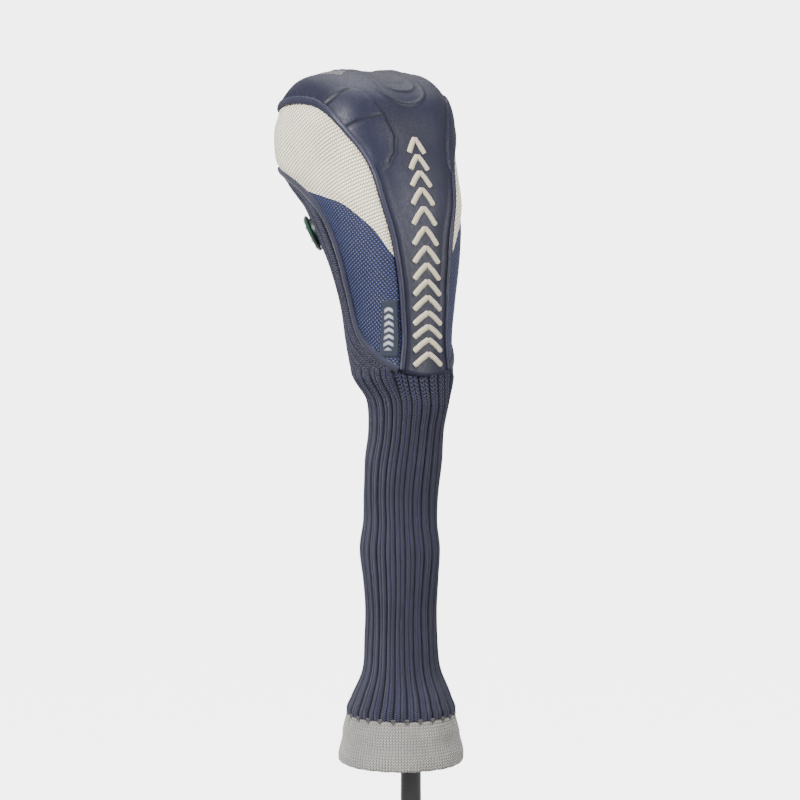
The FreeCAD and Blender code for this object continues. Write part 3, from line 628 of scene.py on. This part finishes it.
def flatCut(piece):      # lays the cloth flat for its weave, in metres, with its length upwards
    bpy.context.view_layer.objects.active = piece
    piece.select_set(True)
    bpy.ops.object.mode_set(mode="EDIT")
    bpy.ops.mesh.select_all(action="SELECT")
    bpy.ops.uv.unwrap(method="CONFORMAL", margin=0)
    bpy.ops.object.mode_set(mode="OBJECT")
    piece.select_set(False)
    mesh, bm = piece.data, bmesh.new()
    bm.from_mesh(mesh)
    weave = bm.loops.layers.uv["weave"]
    area, gradient = 0.0, Vector((0, 0))
    for face in bm.faces:
        a, b, c = face.loops[0], face.loops[1], face.loops[2]
        p, q = b[weave].uv - a[weave].uv, c[weave].uv - a[weave].uv
        cross = p.x * q.y - p.y * q.x
        area += abs(cross) / 2 * (2 if len(face.verts) == 4 else 1)
        if abs(cross) > 1e-14:
            rise = (b.vert.co.z - a.vert.co.z, c.vert.co.z - a.vert.co.z)
            gradient += Vector((rise[0] * q.y - rise[1] * p.y, rise[1] * p.x - rise[0] * q.x))
    scale = math.sqrt(sum(face.calc_area() for face in bm.faces) / area)
    turn = math.atan2(gradient.x, gradient.y)
    cos, sin = math.cos(turn) * scale, math.sin(turn) * scale
    for face in bm.faces:
        for loop in face.loops:
            x, y = loop[weave].uv
            loop[weave].uv = (x * cos - y * sin, x * sin + y * cos)
    bm.to_mesh(mesh)
    bm.free()


def sideSheet(name, node, slotName, side, rows, count, lowLine, highLine, puff):
    bm = gridPiece(sideCloth["columns"], count, clothPlace(side, rows, lowLine, highLine, puff))
    piece = pieceFrom(bm, name, "cover", slotName)
    flatCut(piece)
    thicken(piece, sideCloth["wall"])
    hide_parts(node)


def topLine(s):
    return lineAngle("topSeam", s)


for side, word in ((-1, "left"), (1, "right")):
    sideSheet("lightPanel" + word.title(), "light_panel_" + word, "light_mesh", side, lightRows,
              sideCloth["lightRows"], topLine, joinAngle, 0.7)
    sideSheet("bluePanel" + word.title(), "blue_panel_" + word, "blue_nylon", side, blueRows,
              sideCloth["blueRows"], lambda s: max(topLine(s), joinAngle(s)), mouthAngle, 0.5)


# ribbons sewn along the seams: the piping round the top panel and the binding round the mouth


class Seam:      # a path on the hood, given as (slice, degrees, lift) spots, that can be read by share of its length
    def __init__(self, spots):
        self.points = [hoodSpot(s, d) + hoodNormal(s, d) * lift * mm for s, d, lift in spots]
        self.normals = [hoodNormal(s, d) for s, d, lift in spots]
        self.arc = addedUp(self.points)
        self.length = self.arc[-1]

    @functools.lru_cache(maxsize=None)
    def spot(self, share):
        i, f = between(self.arc, clamp(share) * self.length)
        return self.points[i].lerp(self.points[i + 1], f)

    @functools.lru_cache(maxsize=None)
    def frame(self, share, reach=0.0016):      # point, outward, sideways
        i, f = between(self.arc, clamp(share) * self.length)
        step = reach / self.length
        along = (self.spot(share + step) - self.spot(share - step)).normalized()
        out = self.normals[i].lerp(self.normals[i + 1], clamp(f))
        out = (out - along * out.dot(along)).normalized()
        return self.spot(share), out, along.cross(out)


# a rounded band swept along a seam
def ribbon(seam, rows, columns, wide, rise, sink=0.8, shift=0.0, power=0.75, ripple=0.0):
    def place(u, w):
        point, out, across = seam.frame(w)
        width = wide(w) if callable(wide) else wide
        a = 2 * math.pi * u
        side = math.cos(a)
        up = math.sin(a)
        height = rise * abs(up) ** power if up > 0 else -sink * abs(up) ** power
        if ripple:
            height += ripple * noise.noise(Vector((w * seam.length * 160, side * 2, 0))) if up > 0 else 0.0
        spot = point + across * (shift(w) if callable(shift) else shift) * mm + across * side * width / 2 * mm
        outward = across * side + out * up
        # painted shade on the band's underside, read by the piping's leather finish
        return spot + out * height * mm, (u * width * 2.4 * mm, w * seam.length), outward, 0.6 if up < -0.3 else 0.0
    return gridPiece(columns, rows, place, wrap=True)


def evenSpots(low, high, count):
    return [low + (high - low) * i / (count - 1) for i in range(count)]


piping = {"rows": 520, "columns": 14, "wide": (3.0, 4.4), "rise": 1.25, "low": 0.27}
halfSeam = [(s, lineAngle("topSeam", s), 0.0) for s in evenSpots(piping["low"], toeCross, 420)]
around = [(s, -d, h) for s, d, h in halfSeam] + [(s, d, h) for s, d, h in reversed(halfSeam)]
pipingSeam = Seam(around)


def pipingWide(w):      # wide over the crown, narrow down the spine
    high = 1 - abs(2 * w - 1)
    return piping["wide"][0] + (piping["wide"][1] - piping["wide"][0]) * ease(high, 0.42, 0.72)


bm = ribbon(pipingSeam, piping["rows"], piping["columns"], pipingWide, piping["rise"],
            shift=lambda w: 0.5 * pipingWide(w) + 0.15, ripple=0.12)
pipingPiece = pieceFrom(bm, "topPiping", "cover", "piping", closed=True)
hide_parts("top_piping")

binding = {"rows": 420, "columns": 12, "wide": 3.5, "rise": 1.15}
mouthSpots = [(s, mouthAngle(s), 0.1) for s in evenSpots(0.28, mouthCross, 420)]
mouthSeam = Seam([(s, -d, h) for s, d, h in mouthSpots] + [(s, d, h) for s, d, h in reversed(mouthSpots)])
bm = ribbon(mouthSeam, binding["rows"], binding["columns"], binding["wide"], binding["rise"], sink=1.6, power=0.6)
bindingPiece = pieceFrom(bm, "mouthBinding", "cover", "binding", closed=True)
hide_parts("mouth_binding")
print("piping and binding made", round(pipingSeam.length, 4), round(mouthSeam.length, 4))


# the knitted parts: one rib count runs from the hem of the sock to the gusset's tip


knitting = {
    "ribs": 25, "ribDepth": 1.25, "rowPitch": 1.15, "perRib": 8, "wall": 1.5,
    "sockRows": 150, "gussetRows": 150, "gussetColumns": 176,
    "sockRings": [      # share of the length down, centre x, centre y, radius x, radius y
        (0.0, -7 + 3.3, -2.3, 24.0, 28.0), (0.07, -1.8, -0.6, 21.6, 22.4), (0.16, -3.4, -0.8, 20.0, 20.0),
        (0.25, -4.4, -2.2, 20.6, 20.6), (0.34, -5, -3, 20.0, 20.0), (0.43, -5, -3, 19.7, 19.7),
        (0.51, -5, -3, 21.3, 21.3), (0.6, -5, -3, 20.0, 20.0), (0.69, -5, -3, 18.9, 18.9),
        (0.78, -5, -3, 19.4, 19.4), (0.87, -5, -3, 21.0, 21.0),
        (0.955, -5, -3, 27.2, 27.2), (1.0, -5, -3, 30.1, 30.1)],
}
sockLow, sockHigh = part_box("knit_sock")
sockLength = (sockHigh.z - sockLow.z) / mm


def ribLift(r, depth):      # rounded ribs between narrow grooves, with a faint line down the middle of each
    f = abs(r - math.floor(r) - 0.5) * 2
    return depth * ((1 - f ** 4.5) - 0.12 * bump(f, 0, 0.22) - 0.6)


@functools.lru_cache(maxsize=None)
def sockRing(t):
    rings = knitting["sockRings"]
    i = min(max(bisect.bisect_right([ring[0] for ring in rings], t) - 1, 0), len(rings) - 2)
    return smoothRow(rings, i + (t - rings[i][0]) / (rings[i + 1][0] - rings[i][0]))


def sockSpot(t, degrees, lift):
    share, centreX, centreY, radiusX, radiusY = sockRing(t)
    a = math.radians(degrees)
    power = 2 / (2 + 0.1 * (1 - ease(t, 0, 0.08)))
    out = Vector((math.cos(a), math.sin(a), 0))
    roundWay = Vector((radiusX * signedPower(math.cos(a), power), radiusY * signedPower(math.sin(a), power), 0))
    centre = Vector((centreX, centreY, 0))
    return (centre + roundWay + out * lift) * mm + Vector((0, 0, sockHigh.z - t * sockLength * mm)), out


def sockPlace(u, w):
    degrees = 360 * u
    r = u * knitting["ribs"]
    fold = ease(w, 0.05, 0.3) * (1 - ease(w, 0.9, 1.0))
    swirl = 0.9 * fold * noise.noise(Vector((math.cos(2 * math.pi * u) * 1.6, math.sin(2 * math.pi * u) * 1.6, w * 5)))
    front = min(degrees, 360 - degrees)
    lift = ribLift(r, knitting["ribDepth"]) + swirl
    lift -= 1.6 * (1 - ease(front, 34, 48)) * (1 - ease(w * sockLength, 4, 17))
    lift -= 0.9 * bump(w, 1.0, 0.02)
    point, out = sockSpot(w, degrees + 5 * fold * noise.noise(Vector((w * 3, 0.3, 5))), lift)
    point.z += 8 * mm * (1 - ease(front, 36, 48)) * (1 - ease(w * sockLength, 0, 12))      # runs up behind the spine
    return point, (2 * r, w * sockLength / knitting["rowPitch"]), out


bm = gridPiece(knitting["ribs"] * knitting["perRib"], knitting["sockRows"], sockPlace, wrap=True)
sock = pieceFrom(bm, "knitSock", "cover", "navy_knit")
thicken(sock, knitting["wall"])
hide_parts("knit_sock")

gussetRows, gussetLength = evenRows(0.0, mouthCross, 150)
ribStart = mouthAngle(0.0) * knitting["ribs"] / 360
ribPitch = (180 - mouthAngle(0.0)) * perDegree(0.0) / (knitting["ribs"] / 2 - ribStart)


def gussetPlace(u, w):
    s = gussetRows(w)
    edge = mouthAngle(s)
    degrees = edge + (360 - 2 * edge) * u
    side = min(degrees, 360 - degrees)
    inward = max(side - edge, 0) * perDegree(s)
    r = ribStart + inward / ribPitch
    r = min(r, knitting["ribs"] / 2 + 3 * s) if side < 179.99 else r
    lift = ribLift(r, knitting["ribDepth"]) - 1.5 * (1 - ease(inward, 1.2, 6.5)) - 0.5 * ease(s, 0, 1.5)
    if u > 0.5:
        r = knitting["ribs"] - r
    out = hoodNormal(s, degrees)
    # painted shade along the knit's edge where it runs under the binding
    return (hoodSpot(s, degrees) + out * lift * mm, (2 * r, w * gussetLength / knitting["rowPitch"]), out,
            0.5 * (1 - ease(inward, 0.5, 3.0)))


bm = gridPiece(knitting["gussetColumns"], knitting["gussetRows"], gussetPlace)
gusset = pieceFrom(bm, "knitGusset", "cover", "navy_knit")
thicken(gusset, knitting["wall"])
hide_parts("knit_gusset")

cuff = {
    "wales": 125, "perWale": 4, "rows": 40, "wall": 2.2, "radius": 34, "centre": (-5, -3),
    "rings": [(0, 0.87), (0.4, 0.93), (0.85, 1.0), (1, 0.995)], "scallop": 0.9, "rowPitch": 1.5,
}
cuffLow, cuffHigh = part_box("knit_cuff")
cuffLength = (cuffHigh.z - cuffLow.z) / mm


def cuffSpot(w, degrees, lift, drop=0.0):
    radius = cuff["radius"] * rowAt(cuff["rings"], w) + lift
    out = spokeAt(degrees)
    down = Vector((0, 0, cuffHigh.z - (w * cuffLength + drop) * mm))
    return (Vector((*cuff["centre"], 0)) + out * radius) * mm + down, out


def cuffPlace(u, around):      # down the ridged outside, under the hem and up the smooth inside
    degrees, ribs = 360 * u, knitting["ribs"]
    if around > 0.5:
        w = clamp((1 - around) / 0.48)
        inner = -cuff["wall"] * ease(around, 0.5, 0.53) * (1 - ease(around, 0.97, 1.0)) - 1.4
        point, out = cuffSpot(w * 0.985, degrees, inner)
        # painted shade on the inside of the cuff
        return point, (u * cuff["wales"], w * cuffLength / cuff["rowPitch"]), -out, 0.4
    w = clamp(around / 0.49)
    f = abs(u * cuff["wales"] % 1 - 0.5) * 2
    groove = abs((u * ribs) % 1 - 0.5) * 2      # 1 at each groove of the sock above
    lift = 0.42 * (1 - f ** 2) - 0.3
    hole = bump(groove, 1.0, 0.3) * bump(w * cuffLength, 0.6, 1.8)
    lift -= 1.3 * hole + 0.7 * bump(groove, 1.0, 0.6) * (1 - ease(w, 0.0, 0.35))
    lift += 0.5 * noise.noise(Vector((math.cos(2 * math.pi * u) * 2, math.sin(2 * math.pi * u) * 2, w * 2)))
    lift -= 1.1 * ease(w, 0.95, 1.0) ** 2 + 0.7 * (1 - ease(w * cuffLength, 0, 1.2))
    drop = cuff["scallop"] * (1 - groove ** 2) * (0.3 * ease(w, 0.5, 1.0) - (1 - ease(w, 0, 0.3)))
    point, out = cuffSpot(w, degrees, lift, drop)
    # painted shade in the holes at the top of the cuff, under each groove of the sock
    return point, (u * cuff["wales"], w * cuffLength / cuff["rowPitch"]), out, 0.95 * clamp(hole * 1.6)


bm = gridPiece(cuff["wales"] * cuff["perWale"], 2 * cuff["rows"], cuffPlace, wrap=True)
bmesh.ops.bridge_loops(bm, edges=[e for e in bm.edges if e.is_boundary])
cuffPiece = pieceFrom(bm, "knitCuff", "cover", "grey_knit", closed=True)
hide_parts("knit_cuff")

loops = {"radius": 0.95, "yarn": 0.42, "stand": 0.5}


def ringAt(centre, out, radius, yarn):      # one small closed loop of yarn, standing on the knit
    part = bmesh.new()
    bmesh.ops.create_circle(part, segments=6, radius=yarn * mm)
    bmesh.ops.rotate(part, verts=part.verts, matrix=Matrix.Rotation(math.pi / 2, 3, "X"))
    bmesh.ops.translate(part, verts=part.verts, vec=(radius * mm, 0, 0))
    bmesh.ops.spin(part, geom=part.edges[:], cent=(0, 0, 0), axis=(0, 0, 1), angle=math.tau, steps=10, use_merge=True)
    bmesh.ops.recalc_face_normals(part, faces=part.faces)
    turn = out.to_track_quat("Z", "Y").to_matrix().to_4x4()
    bmesh.ops.transform(part, matrix=Matrix.Translation(centre) @ turn, verts=part.verts)
    return part


def joinAll(parts):
    joined = bmesh.new()
    for part in parts:
        scrap = bpy.data.meshes.new("scrap")
        part.to_mesh(scrap)
        part.free()
        joined.from_mesh(scrap)
        bpy.data.meshes.remove(scrap)
    return joined


rings = []
for i in range(knitting["ribs"]):
    point, out = cuffSpot(0.0, 360 * i / knitting["ribs"], loops["stand"] - 0.6, 0.1)
    rings.append(ringAt(point, out, loops["radius"], loops["yarn"]))
pieceFrom(joinAll(rings), "cuffLoops", "cover", "grey_knit")
print("cuff made")


# soft pieces inside the hood, which show only through the mouth of the sock and in the cut-open model


def layerPlace(lowSlice, highSlice, halfLine, lift):
    rows, length = evenRows(lowSlice, highSlice, 0)

    def place(u, w):
        s = rows(w)
        degrees = (2 * u - 1) * halfLine(s)
        out = hoodNormal(s, degrees)
        spot = hoodSpot(s, degrees) + out * (lift + 0.15 * noise.noise(Vector((s * 2, degrees / 20, lift)))) * mm
        return spot, (degrees * perDegree(s) * mm, w * length * mm), out
    return place


bm = gridPiece(50, 110, layerPlace(0.15, 10.5, lambda s: topLine(s) - 1.5, -1.35))
foam = pieceFrom(bm, "topPanelFoam", "cover", "foam")
thicken(foam, 1.3)
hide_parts("top_panel_foam")
bm = gridPiece(96, 110, layerPlace(0.15, 10.6, lambda s: min(mouthAngle(s), 178.5) - 3, -3.15))
lining = pieceFrom(bm, "hoodLining", "cover", "lining")
thicken(lining, 0.6)
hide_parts("hood_lining")

elasticLow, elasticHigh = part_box("neck_elastic")


def elasticPlace(u, w):
    centre = (elasticLow + elasticHigh) / 2
    half = (elasticHigh - elasticLow) / 2
    out = spokeAt(360 * u)
    inset = (0.45 - 0.25 * math.sin(math.tau * u * 60)) * mm      # gathered
    spot = Vector((centre.x + (half.x - inset) * out.x, centre.y + (half.y - inset) * out.y,
                   elasticLow.z + (elasticHigh.z - elasticLow.z) * w))
    return spot, (u * 0.13, w * 0.008), out


elastic = pieceFrom(gridPiece(240, 8, elasticPlace, wrap=True), "neckElastic", "cover", "elastic")
thicken(elastic, 0.8)
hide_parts("neck_elastic")


# the woven label beside the spine, and the satin-stitched chevrons down it


label = {"slices": (0.62, 2.02), "gap": 1.6, "wide": 9.2, "columns": 40, "rows": 60}


def labelPlace(u, w):
    s = label["slices"][0] + (label["slices"][1] - label["slices"][0]) * w
    turn = perDegree(s)
    degrees = topLine(s) + (label["gap"] + label["wide"] * u * (1.08 - 0.2 * w)) / turn
    rim = min(u, 1 - u, w * 3, 1)
    lift = 0.45 + 0.25 * ease(rim, 0, 0.12) + 0.2 * noise.noise(Vector((u * 3, w * 6, 1)))
    motif = abs(((w * 8.0 + abs(u - 0.55) * 1.4) % 1) - 0.5) * 2      # woven chevrons
    woven = bump(u, 0.55, 0.3) ** 0.25 * ease(min(w, 1 - w), 0.1, 0.13) * ease(motif, 0.45, 0.6)
    lift += 0.12 * woven
    out = hoodNormal(s, -degrees)
    return hoodSpot(s, -degrees) + out * lift * mm, (u * label["wide"] * mm, w * 0.026), out, woven


def labelCloth():
    web = Web("labelTape", Roughness=0.7, Sheen_Weight=0.25, Specular_IOR_Level=0.25)
    u, v = web.weave()
    thread = web.sum("ABSOLUTE", web.sum("SINE", web.times(v, math.pi / (0.3 * mm))))
    web.bump(thread, 0.08, 0.8)
    motif = web.add("Attribute", attribute_name="paintedShadeAndMotif").outputs["Fac"]
    ground = web.mix(web.ramp(thread, 0.0, 0.8), tint(16, 20, 30), tint(36, 42, 56))
    return web.done(web.mix(motif, ground, tint(168, 170, 178)))


bm = gridPiece(label["columns"], label["rows"], labelPlace)
labelPiece = pieceFrom(bm, "sideLabel", "cover", "label", labelCloth())
thicken(labelPiece, 0.5)
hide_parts("side_label")

stitching = {
    "stroke": 3.1, "rise": 0.8, "rowPitch": 0.21, "columns": 8,
    "chevrons": [(0.55, 8.8), (0.9, 8.8), (1.25, 8.8), (1.6, 8.8), (1.96, 8.6), (2.3, 8.4), (2.63, 8.2), (2.96, 8.0),
                 (3.3, 7.7), (3.65, 7.3), (4.0, 6.8), (4.35, 6.2), (4.7, 5.6), (5.05, 5.0)],
}


def spineSpot(s, across):      # degrees at which a slice is that many millimetres off the centre line
    middle, reach, half, squareness = sliceAt(s)
    share = clamp(across * mm / half, -0.999, 0.999)
    return math.degrees(math.asin(signedPower(share, squareness / 2)))


def satin(path):      # path: (slice, across) corners of one stroke
    spots = []
    for (sA, yA), (sB, yB) in zip(path, path[1:]):
        for i in range(40):
            f = i / 40
            s, y = sA + (sB - sA) * f, yA + (yB - yA) * f
            spots.append((s, spineSpot(s, y), 0.15))
    s, y = path[-1]
    spots.append((s, spineSpot(s, y), 0.15))
    seam = Seam(spots)
    rows = max(int(seam.length / mm / stitching["rowPitch"]), 12)

    def wide(w):
        full = stitching["stroke"] * (1 - 0.06 * math.cos(w * rows * math.pi))      # each stitch swells a little
        return full * (0.72 + 0.28 * ease(min(w, 1 - w), 0, 0.06))
    return ribbon(seam, rows, stitching["columns"], wide, stitching["rise"], sink=0.3, power=0.6, ripple=0.06)


strokes = []
for s, reach in stitching["chevrons"]:
    for side in (-1, 1):
        strokes.append([(s - 0.16, side * reach), (s + 0.01, side * reach * 0.5), (s + 0.14, 0.0)])
parts = []
for path in strokes:
    parts.append(satin(path))
    closeUp(parts[-1])
stitches = pieceFrom(joinAll(parts), "embroidery", "cover", "thread")
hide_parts("embroidery")
print("label and stitching made")


# the club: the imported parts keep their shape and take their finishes


hardParts = {
    "grip_end_cap": "grip_rubber", "grip_tape": "tape", "shaft": "shaft_graphite", "shaft_tip_plug": "plug",
    "ferrule": "ferrule", "face_plate": "face_steel", "crown_plate": "crown_paint", "sole_weight": "weight_metal",
    "head_body": "head_casting", "dial_base": "dial_base", "dial_rivet": "dial_rivet", "dial_disc": "dial_disc",
}
for node, finish in hardParts.items():
    mesh = nodes[node].data
    mesh.materials.clear()
    mesh.materials.append(finishes[finish])

grip = {"columns": 120, "rows": 460, "wall": 1.35, "turns": 12, "depth": 0.45}
gripLow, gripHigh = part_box("grip_sleeve")
outline = sorted((v.co.z, math.hypot(v.co.x, v.co.y)) for v in nodes["grip_sleeve"].data.vertices)
gripRadii = [max(r for z, r in outline if abs(z - level) < 0.02) for level in evenSpots(gripLow.z, gripHigh.z, 14)]
gripRadii = gripRadii[:-1] + [min(r for z, r in outline if z > gripHigh.z - 0.004 and r > 0.0085)]


def gripPlace(u, w):
    radius = smoothRow([(r,) for r in gripRadii], w * (len(gripRadii) - 1))[0]
    z = gripLow.z + (gripHigh.z - gripLow.z) * w
    out = spokeAt(360 * u)
    twist = u * grip["turns"]
    along = w * (gripHigh.z - gripLow.z) / 0.0115
    cross = abs(math.sin(math.pi * (twist + along))) * abs(math.sin(math.pi * (twist - along)))
    area = ease(w, 0.05, 0.08) * (1 - ease(w, 0.86, 0.9))
    lift = grip["depth"] * area * (ease(cross, 0.1, 0.45) - 1)
    for ring in (0.035, 0.905, 0.925, 0.945, 0.965):
        lift -= 0.35 * bump(w, ring, 0.006)
    lift -= 0.5 * ease(w, 0.985, 1.0)
    return out * (radius + lift * mm) + Vector((0, 0, z)), (u * 0.08, w * 0.267), out


sleeve = pieceFrom(gridPiece(grip["columns"], grip["rows"], gripPlace, wrap=True), "gripSleeve", "club", "grip_rubber")
thicken(sleeve, grip["wall"])
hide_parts("grip_sleeve")

# generic numbers round the dial
dial = {"numerals": "357946", "size": 4.6, "rise": 0.2, "ring": 6.7}
joint = next(j for j in frame["joints"] if j["name"] == "dial_turn")
hub, axis = Vector(joint["pos_m"]), Vector(joint["axis"]).normalized()
if min((v.co - hub).dot(axis) for v in nodes["dial_disc"].data.vertices) < -0.004:
    axis = -axis
dialTop = max((v.co - hub).dot(axis) for v in nodes["dial_disc"].data.vertices)
stand = axis.to_track_quat("Z", "Y").to_matrix().to_4x4()
parts = []
for i, sign in enumerate(dial["numerals"]):
    text = bpy.data.curves.new("numeral", "FONT")
    text.body, text.size, text.extrude = sign, dial["size"] * mm, dial["rise"] * mm
    text.align_x, text.align_y = "CENTER", "CENTER"
    holder = bpy.data.objects.new("numeral", text)
    flat = bpy.data.meshes.new_from_object(holder)
    part = bmesh.new()
    part.from_mesh(flat)
    bmesh.ops.remove_doubles(part, verts=part.verts, dist=0.000001)
    spoke = Matrix.Rotation(math.tau * i / len(dial["numerals"]), 4, "Z")
    spoke = spoke @ Matrix.Translation((0, dial["ring"] * mm, 0))
    bmesh.ops.transform(part, matrix=Matrix.Translation(hub + axis * dialTop) @ stand @ spoke, verts=part.verts)
    bpy.data.objects.remove(holder)
    bpy.data.meshes.remove(flat)
    parts.append(part)
numerals = pieceFrom(joinAll(parts), "dialNumerals", "dial", "dial_disc",
                     hardFinish("numeralPaint", tint(206, 200, 180), tint(176, 168, 146), 0.4))
numerals.data.shade_flat()
print("dial numbered, face", round(dialTop / mm, 2), "mm above its joint")


# floor, backdrop, light and camera


def pale(name, shade, glow):
    web = Web(name, Roughness=0.9)
    web.shader.inputs["Emission Color"].default_value = tint(255, 255, 255)
    web.shader.inputs["Emission Strength"].default_value = glow
    fine = web.noise(900.0, 3.0)
    web.bump(fine, 0.05, 0.3)
    return web.done(web.mix(web.ramp(fine, 0.3, 0.7), tint(shade, shade, shade), tint(shade - 4, shade - 4, shade - 4)))


studio = {"floor": 9.0, "wall": 9.0, "height": 8.0, "sweep": 1.5, "width": 18.0}
bm = bmesh.new()
profile = [bm.verts.new((-studio["floor"], 0, 0)), bm.verts.new((studio["wall"], 0, 0))]
bm.edges.new(profile)
bmesh.ops.spin(bm, geom=[profile[1]], cent=(studio["wall"], 0, studio["sweep"]), axis=(0, -1, 0),
               angle=math.pi / 2, steps=16)
top = max(bm.verts, key=lambda v: v.co.z + v.co.x)
bmesh.ops.extrude_vert_indiv(bm, verts=[top])
bm.verts.ensure_lookup_table()
bm.verts[-1].co.z += studio["height"]
made = bmesh.ops.extrude_edge_only(bm, edges=list(bm.edges))
farSide = [g for g in made["geom"] if isinstance(g, bmesh.types.BMVert)]
bmesh.ops.translate(bm, vec=(0, studio["width"], 0), verts=farSide)
bmesh.ops.translate(bm, vec=(0, -studio["width"] / 2, 0), verts=bm.verts)
bmesh.ops.recalc_face_normals(bm, faces=bm.faces)
bmesh.ops.rotate(bm, cent=(0, 0, 0), matrix=Matrix.Rotation(math.radians(145), 3, "Z"), verts=bm.verts)
mesh = bpy.data.meshes.new("backdrop")
bm.to_mesh(mesh)
bm.free()
mesh.shade_smooth()
backdrop = bpy.data.objects.new("backdrop", mesh)
bpy.context.scene.collection.objects.link(backdrop)
mesh.materials.append(pale("backdropPaper", 240, 4.4))
backdrop.visible_diffuse = False
backdrop.visible_glossy = False

world = bpy.data.worlds.new("studioWorld")
bpy.context.scene.world = world
world.use_nodes = True
world.node_tree.nodes["Background"].inputs["Color"].default_value = (1.0, 1.0, 1.0, 1)
world.node_tree.nodes["Background"].inputs["Strength"].default_value = 0.62

camera = {"azimuth": 55, "distance": 1.1, "aim": 0.969, "side": 0.0059, "rise": 0.039, "lens": 91.7}
away = Vector((math.sin(math.radians(camera["azimuth"])), -math.cos(math.radians(camera["azimuth"])), 0))
screenRight = Vector((-away.y, away.x, 0))
aim = Vector((0, 0, camera["aim"])) - screenRight * camera["side"]


def softLight(name, spot, size, power, colour=(1, 1, 1)):
    data = bpy.data.lights.new(name, "AREA")
    data.shape, data.size, data.energy, data.color = "DISK", size, power, colour
    lamp = bpy.data.objects.new(name, data)
    lamp.location = aim + spot
    lamp.rotation_euler = (-spot).to_track_quat("-Z", "Y").to_euler()
    bpy.context.scene.collection.objects.link(lamp)


softLight("keyLight", away * 1.5 - screenRight * 1.2 + Vector((0, 0, 0.9)), 1.0, 105)
softLight("fillLight", away * 1.0 + screenRight * 1.7 + Vector((0, 0, 0.5)), 1.2, 46)
softLight("topLight", away * -0.1 + Vector((0, 0, 1.7)), 0.9, 9)
softLight("wallLight", -away * 0.5 + Vector((0, 0, 1.9)), 2.4, 30)

lens = bpy.data.cameras.new("camera")
lens.lens = camera["lens"]
lens.clip_end = 50
eye = bpy.data.objects.new("camera", lens)
eye.location = aim + away * camera["distance"] + Vector((0, 0, camera["rise"]))
eye.rotation_euler = (aim - eye.location).to_track_quat("-Z", "Y").to_euler()
bpy.context.scene.collection.objects.link(eye)
bpy.context.scene.camera = eye
